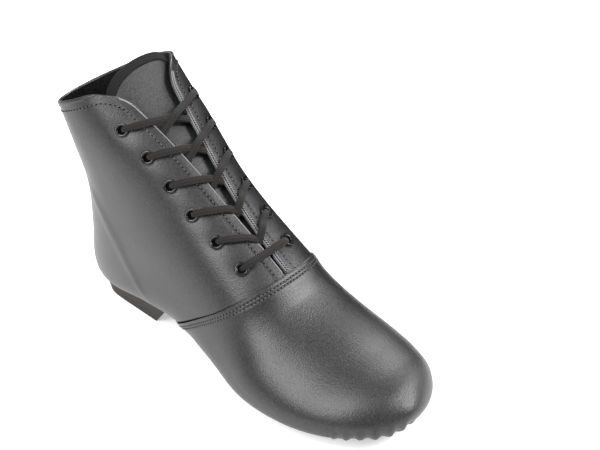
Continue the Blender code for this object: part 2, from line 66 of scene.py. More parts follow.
# %% Sections of the last
LENGTH = 0.250
BALL_WIDTH = 0.088
INSTEP_HEIGHT = 0.060
HEEL_HEIGHT = 0.0085
Section = namedtuple(
    "Section",
    "name top_x top_rise low_x low_rise lift lateral medial widest round_top round_low",
)
SECTIONS = (
    Section("toe tip", 1.000, 0.333, 1.000, 0.333, 0.00, 0.000, 0.000, 0.60, 2.00, 2.4),
    Section("toe end", 0.966, 0.467, 0.986, 0.180, 0.00, 0.199, 0.205, 0.60, 2.00, 2.5),
    Section("toes", 0.924, 0.542, 0.942, 0.127, 0.00, 0.330, 0.355, 0.60, 2.00, 2.8),
    Section("toe joints", 0.872, 0.590, 0.866, 0.083, 0.00, 0.439, 0.439, 0.62, 2.00, 3.2),
    Section("ball front", 0.812, 0.653, 0.760, 0.062, 0.00, 0.509, 0.480, 0.62, 2.00, 3.5),
    Section("ball", 0.752, 0.763, 0.626, 0.063, 0.00, 0.523, 0.473, 0.58, 2.10, 3.5),
    Section("waist front", 0.698, 0.867, 0.484, 0.075, 0.35, 0.460, 0.432, 0.51, 2.30, 3.2),
    Section("vamp seam", 0.646, 1.000, 0.344, 0.094, 0.75, 0.420, 0.398, 0.46, 2.60, 2.8),
    Section("arch", 0.582, 1.167, 0.216, 0.047, 1.00, 0.409, 0.384, 0.44, 2.80, 3.3),
    Section("heel seat", 0.516, 1.387, 0.086, 0.000, 1.00, 0.402, 0.380, 0.44, 2.90, 3.9),
    Section("heel back", 0.454, 1.622, 0.000, 0.093, 1.00, 0.391, 0.382, 0.44, 2.90, 2.7),
    Section("ankle", 0.398, 1.842, 0.018, 0.562, 1.00, 0.386, 0.388, 0.43, 2.85, 2.3),
    Section("tendon", 0.345, 2.045, 0.048, 1.115, 1.00, 0.391, 0.397, 0.44, 2.75, 2.1),
    Section("shaft", 0.292, 2.238, 0.040, 1.603, 1.00, 0.397, 0.403, 0.48, 2.65, 2.0),
    Section("collar", 0.238, 2.450, 0.032, 2.092, 1.00, 0.395, 0.409, 0.54, 2.55, 2.0),
)
BALL, SEAM = 5, 7
COLLAR = len(SECTIONS) - 1
SECTION_STEPS = 721


def sized(row):
    lift = row.lift * HEEL_HEIGHT
    top = (row.top_x * LENGTH, row.top_rise * INSTEP_HEIGHT + lift)
    low = (row.low_x * LENGTH, row.low_rise * INSTEP_HEIGHT + lift)
    widths = (row.lateral * BALL_WIDTH, row.medial * BALL_WIDTH)
    return (*top, *low, *widths, row.widest, row.round_top, row.round_low)


LAST = np.array([sized(row) for row in SECTIONS])
TOP_AND_LOW_SWAPPED = [2, 3, 0, 1, 4, 5, 6, 7, 8]
WIDTHS_TURNED = np.array([1, 1, 1, 1, -1, -1, 1, 1, 1])
KNOTS = np.vstack([LAST[1][TOP_AND_LOW_SWAPPED] * WIDTHS_TURNED, LAST, 2 * LAST[-1] - LAST[-2]])


def between(a, b, c, d, t):
    """A smooth curve from b to c that heads for the neighbours a and d, at t from 0 to 1."""
    return b + 0.5 * t * (c - a + t * (2 * a - 5 * b + 4 * c - d + t * (3 * (b - c) + d - a)))


def sections_at(rows):
    """Section sizes at row numbers: a smooth curve through the table, straight on past the collar."""
    rows = np.asarray(rows, float)
    first = np.clip(rows.astype(int), 0, COLLAR - 1)
    t = (np.minimum(rows, COLLAR) - first)[:, None]
    curve = between(*(KNOTS[first + k] for k in range(4)), t)
    return curve + np.maximum(rows - COLLAR, 0)[:, None] * (LAST[-1] - LAST[-2])


def half_sections(rows, side):
    """Points of half sections from the top down one side (-1 lateral, 1 medial), and lengths along them."""
    columns = sections_at(rows).T[:, :, None]
    top_x, top_z, low_x, low_z, lateral, medial, widest, round_top, round_low = columns
    turn = np.linspace(0, math.pi, SECTION_STEPS)
    above = np.cos(turn) >= 0
    power = 2 / np.where(above, round_top, round_low)
    upright = np.abs(np.cos(turn)) ** power
    share = np.where(above, widest * (1 - upright), widest + (1 - widest) * upright)
    y = side * (medial if side > 0 else lateral) * np.abs(np.sin(turn)) ** power
    points = np.stack([top_x + (low_x - top_x) * share, y, top_z + (low_z - top_z) * share], axis=2)
    steps = np.linalg.norm(np.diff(points, axis=1), axis=2)
    return points, np.concatenate([np.zeros((len(points), 1)), np.cumsum(steps, axis=1)], axis=1)


def last_points(rows, side, shares):
    """Points at shares of the half girth, with a line of shares for each row number."""
    points, lengths = half_sections(rows, side)
    found = np.empty((*shares.shape, 3))
    for i, line in enumerate(shares):
        for k in range(3):
            found[i, :, k] = np.interp(line * lengths[i, -1], lengths[i], points[i, :, k])
    return found


def half_girths(rows, side):
    return half_sections(rows, side)[1][:, -1]


ball_girth = sum(float(half_girths([BALL], side)[0]) for side in (-1, 1))
print("last:", len(SECTIONS), "sections, girth at the ball", round(ball_girth, 4))

# %% [markdown]
# Two kinds of place are used on the last. A row number and a share of the half girth suit the whole
# upper. On the instep, a rise (a length up along the top line from the vamp seam) and a girth distance
# across it suit eyelets, lace and tongue, because a maker would mark them out with a tape in the same
# way.

# %% Places on the last
def lengths_along(points):
    """How far along a line each of its points is."""
    return np.concatenate([[0], np.cumsum(np.linalg.norm(np.diff(points, axis=0), axis=1))])


def at_lengths(wanted, lengths, table):
    """Rows of a table read off at lengths along its line."""
    return np.stack([np.interp(wanted, lengths, column) for column in table.T], axis=1)


ROW_STEP = 0.02
SHARE_STEP = 0.008
ROWS_ALONG = np.linspace(0, COLLAR + 1, 40 * (COLLAR + 1) + 1)
RISES = lengths_along(sections_at(ROWS_ALONG)[:, :2])
RISES = RISES - np.interp(SEAM, ROWS_ALONG, RISES)
COLLAR_RISE = float(np.interp(COLLAR, ROWS_ALONG, RISES))


def row_at(rise):
    return np.interp(rise, RISES, ROWS_ALONG)


def rise_at(row):
    return np.interp(row, ROWS_ALONG, RISES)


def unit(vectors):
    return vectors / np.maximum(np.linalg.norm(vectors, axis=-1, keepdims=True), 1e-12)


def last_normals(rows, side, shares):
    """Unit normals, pointing out of the last."""
    rows = np.asarray(rows, float)
    ahead = last_points(np.maximum(rows - ROW_STEP, 0), side, shares)
    along = last_points(rows + ROW_STEP, side, shares) - ahead
    below = last_points(rows, side, np.minimum(shares + SHARE_STEP, 1))
    above = last_points(rows, side, np.maximum(shares - SHARE_STEP, 0))
    normals = side * np.cross(below - above, along)
    normals[..., 1] = np.where((shares <= 0) | (shares >= 1), 0, normals[..., 1])
    flat = np.linalg.norm(normals, axis=-1) < 1e-14
    normals[flat] = (1, 0, 0)
    return unit(normals)


def on_instep(rises, across, out):
    """Points at rises and girth distances (negative is lateral), out from the last, and their normals."""
    rises, across, out = np.broadcast_arrays(*(np.asarray(v, float) for v in (rises, across, out)))
    rows = row_at(rises)
    points = np.empty((len(rows), 3))
    normals = np.empty((len(rows), 3))
    for side in (-1, 1):
        chosen = (across >= 0) == (side > 0)
        if not chosen.any():
            continue
        shares = (np.abs(across[chosen]) / half_girths(rows[chosen], side))[:, None]
        points[chosen] = last_points(rows[chosen], side, shares)[:, 0]
        normals[chosen] = last_normals(rows[chosen], side, shares)[:, 0]
    return points + normals * out[:, None] + SHIFT, normals


def measured_shift():
    """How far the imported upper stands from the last's own frame, whose heel back is at x = 0."""
    rows = np.linspace(0, COLLAR, 141)
    shares = np.tile(np.linspace(0, 1, 81), (len(rows), 1))
    both = np.concatenate([last_points(rows, side, shares).reshape(-1, 3) for side in (-1, 1)])
    low, high = (np.array(corner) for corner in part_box("upper"))
    shift = (low + high - both.min(axis=0) - both.max(axis=0)) / 2
    return np.array([shift[0], shift[1], 0])


SHIFT = measured_shift()
print("collar rise", round(COLLAR_RISE, 4), "shift", SHIFT.round(5))

# %% [markdown]
# ## Camera and light
#
# The camera was found by matching the boot's outline and eyelets with the photograph: a long lens,
# looking down on the outer side from in front of the toe, with a slight roll. Black leather shows almost
# nothing of its own colour, so its shape is drawn by what it reflects. One lamp would leave a single hard
# spot. Four area lights stand for a studio's soft boxes instead: a long one on the left draws the band
# along the outer side, one on the right lights the patch behind the vamp's seam, one behind draws the
# inner edge, and a small one lies along the toe. A white room fills the rest.

# %% Camera
CAMERA_PLACE = np.array([0.58924, -0.35226, 0.48386])
CAMERA_RIGHT = Vector((0.69636, 0.71130, -0.09561))
CAMERA_UP = Vector((-0.35576, 0.45781, 0.81477))
CAMERA_BACK = Vector((0.62331, -0.53335, 0.57185))
CAMERA_LENS = 78.06
SENSOR_WIDTH = 36

camera_data = bpy.data.cameras.new("camera")
camera_data.lens = CAMERA_LENS
camera_data.sensor_width = SENSOR_WIDTH
camera = bpy.data.objects.new("camera", camera_data)
axes = Matrix((CAMERA_RIGHT, CAMERA_UP, CAMERA_BACK)).transposed()
camera.matrix_world = Matrix.Translation(Vector(CAMERA_PLACE + SHIFT)) @ axes.to_4x4()
bpy.context.scene.collection.objects.link(camera)
bpy.context.scene.camera = camera
print("camera at", tuple(round(c, 3) for c in camera.location), "lens", CAMERA_LENS)

# %% Soft boxes and surroundings
AIM = Vector((0.03, 0.0, 0.05))
SoftBox = namedtuple("SoftBox", "name place width height watts")
SOFT_BOXES = (
    SoftBox("left box", (0.05, -0.74, 1.15), 0.5, 1.4, 27),
    SoftBox("right box", (0.94, 0.68, 0.88), 0.54, 0.42, 17),
    SoftBox("edge box", (-0.37, 0.98, 0.78), 0.36, 0.32, 12.5),
    SoftBox("toe box", (0.22, 0.285, 0.22), 0.17, 0.10, 0.52),
)
ROOM_LIGHT = 0.64


def add_soft_box(box):
    """An area light that faces the middle of the boot."""
    data = bpy.data.lights.new(box.name, "AREA")
    data.shape = "RECTANGLE"
    data.size = box.width
    data.size_y = box.height
    data.energy = box.watts
    light = bpy.data.objects.new(box.name, data)
    light.location = box.place
    light.rotation_mode = "QUATERNION"
    light.rotation_quaternion = (AIM - Vector(box.place)).to_track_quat("-Z", "Y")
    bpy.context.scene.collection.objects.link(light)


for soft_box in SOFT_BOXES:
    add_soft_box(soft_box)
world = bpy.data.worlds.new("white room")
world.use_nodes = True
world.node_tree.nodes["Background"].inputs["Color"].default_value = (1, 1, 1, 1)
world.node_tree.nodes["Background"].inputs["Strength"].default_value = ROOM_LIGHT
bpy.context.scene.world = world
bpy.context.scene.view_settings.view_transform = "Standard"
print("soft boxes:", ", ".join(box.name for box in SOFT_BOXES))

# %% [markdown]
# ## Finishes as expressions
#
# A finish is a Principled shader with a few values that change over the surface. Writing every node by
# hand hides the idea, so one small class wraps a socket and lets Python's own operators add the Math
# nodes. Any other node comes from a single method that takes its type, its settings and its sockets.

# %% A socket that can be added and multiplied
class Value:
    """A socket in a node tree. Arithmetic on it adds Math nodes."""

    def __init__(self, finish, socket):
        self.finish = finish
        self.socket = socket

    def math(self, operation, *values):
        return self.finish.node("ShaderNodeMath", {"operation": operation}, dict(enumerate(values)))

    def __add__(self, other):
        return self.math("ADD", self, other)

    def __radd__(self, other):
        return self.math("ADD", other, self)

    def __sub__(self, other):
        return self.math("SUBTRACT", self, other)

    def __rsub__(self, other):
        return self.math("SUBTRACT", other, self)

    def __mul__(self, other):
        return self.math("MULTIPLY", self, other)

    def __rmul__(self, other):
        return self.math("MULTIPLY", other, self)

    def __pow__(self, other):
        return self.math("POWER", self, other)

    def __rpow__(self, other):
        return self.math("POWER", other, self)

    def clamped(self):
        return self.math("MINIMUM", self.math("MAXIMUM", self, 0.0), 1.0)

    def wave(self):
        """A sine of this angle, from 0 to 1."""
        return self.math("SINE", self) * 0.5 + 0.5


print("values take +, -, * and **")

# %% A finish and its nodes
# A Mix node has sockets for numbers, for vectors and for colours: these are the colour's.
MIX_FACTOR, MIX_FIRST, MIX_SECOND, MIX_RESULT = 0, 6, 7, 2


class Finish:
    """One material: its Principled shader, and the nodes behind values that change over the surface."""

    def __init__(self, name, colour, roughness, specular, sheen=0.0):
        self.material = bpy.data.materials.new(name)
        self.material.use_nodes = True
        self.tree = self.material.node_tree
        self.shader = self.tree.nodes["Principled BSDF"]
        self.shader.inputs["Base Color"].default_value = (*colour, 1)
        self.shader.inputs["Roughness"].default_value = roughness
        self.shader.inputs["Specular IOR Level"].default_value = specular
        self.shader.inputs["Sheen Weight"].default_value = sheen

    def node(self, kind, settings, sockets, output=0):
        """A node of this type: settings come first, then sockets are set or linked. Gives one output."""
        made = self.tree.nodes.new(kind)
        for setting, value in settings.items():
            setattr(made, setting, value)
        for key, value in sockets.items():
            if isinstance(value, Value):
                self.tree.links.new(value.socket, made.inputs[key])
            else:
                made.inputs[key].default_value = value
        return Value(self, made.outputs[output])

    def place(self):
        return self.node("ShaderNodeTexCoord", {}, {}, "Object")

    def noise(self, size, detail, roughness):
        """Noise whose blobs are about size metres across, from 0 to 1."""
        sockets = {"Vector": self.place(), "Scale": 1 / size, "Detail": detail, "Roughness": roughness}
        return self.node("ShaderNodeTexNoise", {}, sockets, "Fac")

    def cells(self, size):
        """Distance from the middle of the nearest cell, in cells about size metres across."""
        sockets = {"Vector": self.place(), "Scale": 1 / size}
        return self.node("ShaderNodeTexVoronoi", {"feature": "F1"}, sockets, "Distance")

    def attribute(self, name):
        return self.node("ShaderNodeAttribute", {"attribute_name": name}, {}, "Fac")

    def mixed(self, first, second, factor):
        """A colour between two, by a factor that may change over the surface."""
        sockets = {MIX_FACTOR: factor, MIX_FIRST: (*first, 1), MIX_SECOND: (*second, 1)}
        return self.node("ShaderNodeMix", {"data_type": "RGBA"}, sockets, MIX_RESULT)

    def vary(self, socket, value):
        self.tree.links.new(value.socket, self.shader.inputs[socket])

    def emboss(self, height, depth, strength):
        """Bumps the surface by a height from 0 to 1 that stands for depth metres."""
        sockets = {"Strength": strength, "Distance": depth, "Height": height}
        self.vary("Normal", self.node("ShaderNodeBump", {}, sockets, "Normal"))


print("finish helpers are ready")

# %% [markdown]
# The leather is dyed through and finished with a thin satin coat. Its grain is a fine pebble, less than a
# millimetre across, with a slower unevenness under it from the hide. Its colour is speckled at random,
# partly the grain's own tone and partly painted light: the dark specks are painted shade for the pores and
# the pale specks a painted highlight for the grain's crests. A photographed texture would fix its scale and
# its light.
# Noise in the boot's own metres stays sharp at any distance: it bumps the surface, breaks up the gloss and
# sets the specks, so that highlights look dusty at their rims and never like plastic. The sock is plain
# woven cloth, two sets of waves across each other.

# %% Leather and cloth
PEBBLE_SIZE = 0.85 * MM
GRAIN_SIZE = 0.65 * MM
HIDE_SIZE = 14 * MM
GRAIN_DEPTH = 0.13 * MM
SPECK_SIZE = 1.0 * MM
SPECK_CONTRAST = 3.2
# Painted light in the grain's colour: dark specks are painted shade for pores, pale ones painted highlight.
PAINTED_PORE_SHADE = 0.1
PAINTED_CREST_HIGHLIGHT = 3.6
WAVES_IN_SCALE = 20


def shaded(colour, share):
    return tuple(share * part for part in colour)


def leather_finish(name, colour, roughness):
    """Grained leather, speckled at random: paler, rougher specks are partly painted highlight, darker,
    shinier ones partly painted shade.
    """
    made = Finish(name, colour, roughness, specular=0.5)
    pebble = made.cells(PEBBLE_SIZE)
    fine = made.noise(GRAIN_SIZE, 1.5, 0.6)
    hide = made.noise(HIDE_SIZE, 2.0, 0.5)
    made.emboss(pebble * 0.5 + fine * 0.8 + hide * 1.2, GRAIN_DEPTH, 0.9)
    speck = ((made.noise(SPECK_SIZE, 2.0, 0.6) - 0.5) * SPECK_CONTRAST + 0.5).clamped()
    made.vary("Roughness", (roughness - 0.09) + fine * 0.10 + hide * 0.05 + speck * 0.04)
    # The speckled colour: partly the grain's own tone, partly painted shade and painted highlight.
    painted_speck_colour = made.mixed(shaded(colour, PAINTED_PORE_SHADE), shaded(colour, PAINTED_CREST_HIGHLIGHT), speck * 0.85 + hide * 0.15)
    made.vary("Base Color", painted_speck_colour)
    return made.material


def cloth_finish(name, colour, lighter, thread):
    """Woven cloth with threads this far apart, laid along the boot's own axes."""
    made = Finish(name, colour, 0.85, specular=0.2, sheen=0.02)
    sockets = {"Vector": made.place(), "Scale": math.tau / (WAVES_IN_SCALE * thread), "Distortion": 0.3}
    along, across = (
        made.node("ShaderNodeTexWave", {"bands_direction": direction}, sockets, "Fac")
        for direction in ("X", "Y")
    )
    weave = along * across
    made.emboss(weave, 0.12 * MM, 0.6)
    made.vary("Base Color", made.mixed(colour, lighter, weave))
    return made.material


LEATHER = leather_finish("black leather", (0.004, 0.004, 0.0043), 0.39)
TONGUE_LEATHER = leather_finish("tongue leather", (0.005, 0.005, 0.0053), 0.43)
SOCK = cloth_finish("sock cloth", (0.020, 0.019, 0.018), (0.045, 0.043, 0.041), 0.9 * MM)
print("leather and cloth made")

# %% [markdown]
# The small finishes work in the same way. The rubber is matt and a little dusty, the eyelets are
# enamelled and worn to a varying gloss, and thread is a dark yarn with a fine twist. The lace and the
# tongue's tape are woven. A wave in space would cut across a lace that turns, so the lace's mesh carries
# two numbers instead, how far along and how far around each point is, and its ribs are sines of those.

# %% Rubber, enamel, thread and tape
def rubber_finish():
    made = Finish("sole rubber", (0.020, 0.017, 0.015), 0.7, specular=0.4)
    grit = made.noise(0.4 * MM, 3.0, 0.65)
    dust = made.noise(9 * MM, 3.0, 0.6)
    made.emboss(grit, 0.15 * MM, 0.5)
    made.vary("Roughness", 0.62 + dust * 0.2)
    made.vary("Base Color", made.mixed((0.010, 0.008, 0.007), (0.034, 0.029, 0.026), dust * grit))
    return made.material


def enamel_finish():
    made = Finish("eyelet enamel", (0.004, 0.004, 0.004), 0.2, specular=0.35)
    wear = made.noise(1.2 * MM, 3.0, 0.6)
    made.vary("Roughness", 0.12 + wear * 0.12)
    made.vary("Base Color", made.mixed((0.002, 0.002, 0.002), (0.012, 0.012, 0.012), wear ** 3.0))
    return made.material


def thread_finish(name, colour):
    made = Finish(name, colour, 0.6, specular=0.5)
    ply = made.noise(0.25 * MM, 2.0, 0.5)
    made.emboss(ply, 0.08 * MM, 0.5)
    made.vary("Base Color", made.mixed(colour, shaded(colour, 1.8), ply))
    return made.material


def ribbed_finish(name, colour, lighter, ribs, pick):
    """Woven lace: ribs along its length and picks across it, from the piece's own two attributes."""
    made = Finish(name, colour, 0.8, specular=0.25, sheen=0.05)
    around = made.attribute("around")
    rib = (around * (math.tau * ribs)).wave()
    cross = (made.attribute("along") * (math.tau / pick) + around * (math.tau * ribs / 2)).wave()
    fuzz = made.noise(0.3 * MM, 2.0, 0.6)
    weave = rib * 0.4 + cross * 0.45 + fuzz * 0.3
    made.emboss(weave, 0.35 * MM, 0.8)
    made.vary("Base Color", made.mixed(colour, lighter, (weave - 0.15).clamped()))
    return made.material


RUBBER = rubber_finish()
ENAMEL = enamel_finish()
THREAD = thread_finish("black thread", (0.030, 0.030, 0.032))
# Painted highlight: the rope stitch's pale thread colour stands for light on its twists.
THREAD_HIGHLIGHT_FINISH = thread_finish("thread with painted highlight", (0.12, 0.12, 0.125))
# Painted highlight: a pale finish for beads along the facings' edges, where they catch the light.
EDGE_HIGHLIGHT_FINISH = thread_finish("painted edge highlight", (0.12, 0.12, 0.125))
# Painted shade: a near-black matt finish for beads and cups that stand for the shade in stitch holes, eyelet
# bores, the gap under the vamp's edge and the groove under the rope stitch.
HOLE_SHADE_FINISH = Finish("painted hole shade", (0.002, 0.002, 0.002), 0.95, specular=0.05).material
TAPE = cloth_finish("binding tape", (0.002, 0.0018, 0.0018), (0.012, 0.011, 0.0108), 1.1 * MM)
CORD = ribbed_finish("woven lace", (0.0010, 0.0008, 0.0007), (0.013, 0.011, 0.010), 4, 1.3 * MM)
print("rubber, enamel, thread, tape and lace made")

# %% [markdown]
# ## Meshes from sheets
#
# Most pieces are sheets with a thickness: leather, tape, sock, sole. A Solidify modifier could thicken
# one grid, but it would leave square edges and the same distance everywhere. Here each sheet is two grids
# of points with the same layout, an outer and an inner one. Points that coincide are welded, so halves
# join along the middle of the shoe, and every open border gets a small round edge between the two faces,
# as a turned or skived edge has.

# %% Faces and pieces
def grid_faces(numbers):
    """Quads over a grid of point numbers, with those that collapse to a line left out."""
    quads = np.stack([numbers[:-1, :-1], numbers[:-1, 1:], numbers[1:, 1:], numbers[1:, :-1]], axis=-1)
    faces = []
    for quad in quads.reshape(-1, 4).tolist():
        corners = list(dict.fromkeys(quad))
        if len(corners) > 2:
            faces.append(corners)
    return faces


def border_edges(faces):
    """Directed edges that only one face uses."""
    edges = [(a, b) for face in faces for a, b in zip(face, face[1:] + face[:1])]
    known = set(edges)
    return [(a, b) for a, b in edges if (b, a) not in known]


def new_piece(name, points, faces, material, nodes=()):
    """A smooth-shaded mesh that rides on the boot, takes a finish and hides the CAD nodes that it stands
    for.
    """
    mesh = bpy.data.meshes.new(name)
    mesh.from_pydata(np.asarray(points).tolist(), [], faces)
    mesh.validate()
    mesh.shade_smooth()
    mesh.materials.append(material)
    piece = bpy.data.objects.new(name, mesh)
    bpy.context.scene.collection.objects.link(piece)
    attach(piece, "root")
    if nodes:
        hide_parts(*nodes)
    triangles = sum(len(face) - 2 for face in faces)
    print(f"{name}: {len(mesh.vertices)} points, {triangles} triangles")
    return piece


def add_attribute(piece, name, values):
    """A number for every point of a piece, which its finish can read by name."""
    made = piece.data.attributes.new(name, "FLOAT", "POINT")
    made.data.foreach_set("value", np.asarray(values, np.float32))


print("piece helpers are ready")

# %% Sheets with rounded edges
EDGE_TURNS = np.array([0.25, 0.5, 0.75]) * math.pi
WELD_SIZE = 1e-7


def welded(outer_grids, inner_grids):
    """Points of the grids with doubles taken out, outer and inner, and the faces over them."""
    outer = np.concatenate([grid.reshape(-1, 3) for grid in outer_grids])
    inner = np.concatenate([grid.reshape(-1, 3) for grid in inner_grids])
    rounded = np.round(outer / WELD_SIZE).astype(np.int64)
    _, first, index = np.unique(rounded, axis=0, return_index=True, return_inverse=True)
    index = index.reshape(-1)
    faces = []
    start = 0
    for grid in outer_grids:
        count = grid.shape[0] * grid.shape[1]
        faces += grid_faces(index[start:start + count].reshape(grid.shape[:2]))
        start += count
    return outer[first], inner[first], faces


def rim_loops(outer, inner, border, rim, bulge):
    """Loops of points round a sheet's border, on an arc from the outer to the inner face."""
    away = np.zeros((len(outer), 3))
    across = unit(outer - inner)
    for a, b in border:
        push = np.cross(outer[b] - outer[a], across[a] + across[b])
        away[a] += push
        away[b] += push
    middle = (outer[rim] + inner[rim]) / 2
    half = (outer[rim] - inner[rim]) / 2
    reach = unit(away[rim]) * np.linalg.norm(half, axis=1, keepdims=True) * bulge
    return [middle + half * math.cos(turn) + reach * math.sin(turn) for turn in EDGE_TURNS]


def sheet(name, outer_grids, inner_grids, material, nodes, bulge=1.0):
    """A closed sheet between outer and inner grids, its borders rounded out by bulge half thicknesses."""
    outer, inner, faces = welded(outer_grids, inner_grids)
    count = len(outer)
    border = border_edges(faces)
    rim = sorted({a for a, _ in border})
    number = {vertex: k for k, vertex in enumerate(rim)}
    points = np.concatenate([outer, inner, *rim_loops(outer, inner, border, rim, bulge)])
    closed = faces + [[v + count for v in face[::-1]] for face in faces]

    def rim_vertex(vertex, loop):
        if loop < 0:
            return vertex
        if loop == len(EDGE_TURNS):
            return vertex + count
        return 2 * count + loop * len(rim) + number[vertex]

    for a, b in border:
        for loop in range(-1, len(EDGE_TURNS)):
            upper_pair = (rim_vertex(b, loop), rim_vertex(a, loop))
            lower_pair = (rim_vertex(a, loop + 1), rim_vertex(b, loop + 1))
            closed.append([*upper_pair, *lower_pair])
    return new_piece(name, points, closed, material, nodes)


print("sheet helper is ready")

# %% [markdown]
# ## The upper
#
# The vamp covers the toes and laps over the quarters with a raised edge. The quarters meet at the throat,
# which is nearly shut at the seam and opens towards the collar. It could be sculpted, but then nothing
# would stay where the CAD part has it. Both halves are grids on the last instead, denser at the seam, at
# the facings and at the collar, and every size that the CAD part also has is repeated here: throat,
# eyelets, and the pieces under the foot.

# %% Sizes of the upper
WALL = 1.6 * MM
SEAM_STEP = 0.9 * MM
SEAM_RAMP = 0.3 * MM
SEAM_FADE = 12 * MM
THROAT_HALF_GAP = 1.2 * MM
THROAT_FLARE = 11.0 * MM
THROAT_FLARE_RISE = 112 * MM
COLLAR_CORNER = 17 * MM
HEM = 5.4 * MM
EYELETS = 6
EYELET_FIRST_RISE = 15.5 * MM
EYELET_PITCH = 19.4 * MM
EYELET_INSET = 14.3 * MM
# The outer row of eyelets stands a little further from the facing's edge, from the top pair down.
LATERAL_SHIFTS = tuple(shift * MM for shift in (0.4, 1.2, 2.8, 4.2, 3.6, 2.4))
Tread = namedtuple("Tread", "front back share power")
FOREFOOT_SOLE = Tread(2.10, 6.05, 0.77, 2.6)
FOREFOOT_OPENING = Tread(2.75, 5.6, 0.52, 2.5)
HEEL_OPENING = Tread(8.1, 9.55, 0.42, 2.5)
INSOLE = Tread(1.5, 9.45, 0.64, 4.0)
HEEL_TOP = Tread(7.40, 9.88, 0.717, 8.0)


def smooth(values, start, end):
    """0 at start to 1 at end, with a soft beginning and end."""
    t = np.clip((np.asarray(values, float) - start) / (end - start), 0, 1)
    return t * t * (3 - 2 * t)


def hump(values, middle, width):
    """1 at the middle, fading to 0 about twice the width away."""
    return np.exp(-((np.asarray(values, float) - middle) / width) ** 2)


def facing_gap(rise):
    """Girth distance from the middle of the throat to the facing's straight edge."""
    return THROAT_HALF_GAP + THROAT_FLARE * (np.maximum(rise, 0) / THROAT_FLARE_RISE) ** 2


def throat_gap(rise):
    """The same with the round corner at the collar."""
    into = np.clip(rise - (COLLAR_RISE - COLLAR_CORNER), 0, COLLAR_CORNER)
    return facing_gap(rise) + COLLAR_CORNER - np.sqrt(COLLAR_CORNER ** 2 - into ** 2)


def eyelet_place(side, number):
    """Rise and girth distance of an eyelet, counted from the top pair."""
    rise = EYELET_FIRST_RISE + (EYELETS - number) * EYELET_PITCH
    inset = EYELET_INSET + (LATERAL_SHIFTS[number - 1] if side < 0 else 0.0)
    return rise, side * (float(throat_gap(rise)) + inset)


print("eyelets:", EYELETS, "pairs, the top pair at rise", round(eyelet_place(1, 1)[0], 4))

# %% Rows of the upper's grid
HALF_COLUMNS = 84
CROWDING = 0.5
VAMP_END = -7.2 * MM
SEAM_ZONE = np.arange(-6.9, 1.7, 0.3) * MM
QUARTER_START = 2.2 * MM


def tread_share(tread, rows):
    """Half width of a piece under the foot, as a share of the last's own half width."""
    middle = (tread.front + tread.back) / 2
    half = (tread.back - tread.front) / 2
    off = np.minimum(np.abs(np.asarray(rows, float) - middle) / half, 1)
    return tread.share * (1 - off ** tread.power) ** (1 / tread.power)


def low_shares(rows, side, widths):
    """Shares of the half girth where the underside is these shares of the half width from the middle."""
    points, lengths = half_sections(rows, side)
    found = []
    for line, along, width in zip(np.abs(points[:, :, 1]), lengths, widths):
        widest = int(np.argmax(line))
        target = width * line[widest]
        found.append(np.interp(target, line[widest:][::-1], along[widest:][::-1]) / along[-1])
    return np.array(found)


def upper_rows():
    """Row numbers from toe to collar, close together at the toe, the seam and the collar's corner."""
    toe = np.linspace(0, 1, 18) ** 1.4
    vamp = np.linspace(1, row_at(VAMP_END), 92)[1:]
    seam = row_at(SEAM_ZONE)
    quarter = np.linspace(row_at(QUARTER_START), row_at(COLLAR_RISE - COLLAR_CORNER), 92)
    corner = row_at(COLLAR_RISE - COLLAR_CORNER * (1 - np.sin(np.linspace(0, math.pi / 2, 26)[1:])))
    return np.concatenate([toe, vamp, seam, quarter, corner])


UPPER_ROWS = upper_rows()
UPPER_RISES = rise_at(UPPER_ROWS)
print("upper:", len(UPPER_ROWS), "rows of", 2 * HALF_COLUMNS, "points")

# %% [markdown]
# The relief of the leather is a height out from the last. It could be bump alone, but steps and pleats
# show at the outline, so they are real geometry. It is worked out from distances that a maker would
# measure: to the vamp's edge, to the facing's edge and to the collar.

# %% Distances on the upper
def upper_shares(side):
    """Shares of the half girth for each grid column, from the throat or top line to the low opening."""
    girths = half_girths(UPPER_ROWS, side)
    start = np.where(UPPER_ROWS > SEAM, throat_gap(UPPER_RISES) / np.maximum(girths, 1e-9), 0)
    opening = np.maximum(tread_share(FOREFOOT_OPENING, UPPER_ROWS), tread_share(HEEL_OPENING, UPPER_ROWS))
    end = low_shares(np.maximum(UPPER_ROWS, 0.01), side, opening)
    t = np.linspace(0, 1, HALF_COLUMNS)
    spread = t - CROWDING * np.sin(2 * math.pi * t) / (2 * math.pi)
    return start[:, None] + (end - start)[:, None] * spread, girths


def border_distance(points, shares, girths):
    """Distance from the facing's edge and the collar, round the corner between them."""
    from_facing = shares * girths[:, None] - facing_gap(UPPER_RISES)[:, None]
    steps = np.linalg.norm(np.diff(points, axis=0), axis=2)
    from_collar = np.concatenate([np.cumsum(steps[::-1], axis=0)[::-1], np.zeros((1, points.shape[1]))])
    corner = COLLAR_CORNER - np.hypot(
        np.maximum(COLLAR_CORNER - from_facing, 0), np.maximum(COLLAR_CORNER - from_collar, 0)
    )
    near = (from_facing < COLLAR_CORNER) & (from_collar < COLLAR_CORNER)
    distance = np.where(near, corner, np.minimum(from_facing, from_collar))
    return np.where((UPPER_ROWS > SEAM)[:, None], distance, 1.0)


def seam_distance(points):
    """Signed distance from the vamp's edge, along the grid's columns: negative on the vamp."""
    steps = np.linalg.norm(np.diff(points, axis=0), axis=2)
    along = np.concatenate([np.zeros((1, points.shape[1])), np.cumsum(steps, axis=0)])
    edge = int(np.argmin(np.abs(UPPER_ROWS - SEAM)))
    return along - along[edge]


print("the vamp's edge is row", int(np.argmin(np.abs(UPPER_ROWS - SEAM))), "of the grid")

# %% [markdown]
# Each thing that a maker or wear did has one small function. Round the toe the leather is gathered under,
# which leaves soft pleats above the sole. On the quarters the counter under the leather shows as a soft
# ridge from the back of the ankle down to the front of the heel. A shallow crease lies across the vamp
# where the foot bends, and the lace draws the leather down a little round its eyelets. One noise could
# stand for all of it, but it would put nothing where a hand or a foot puts it.

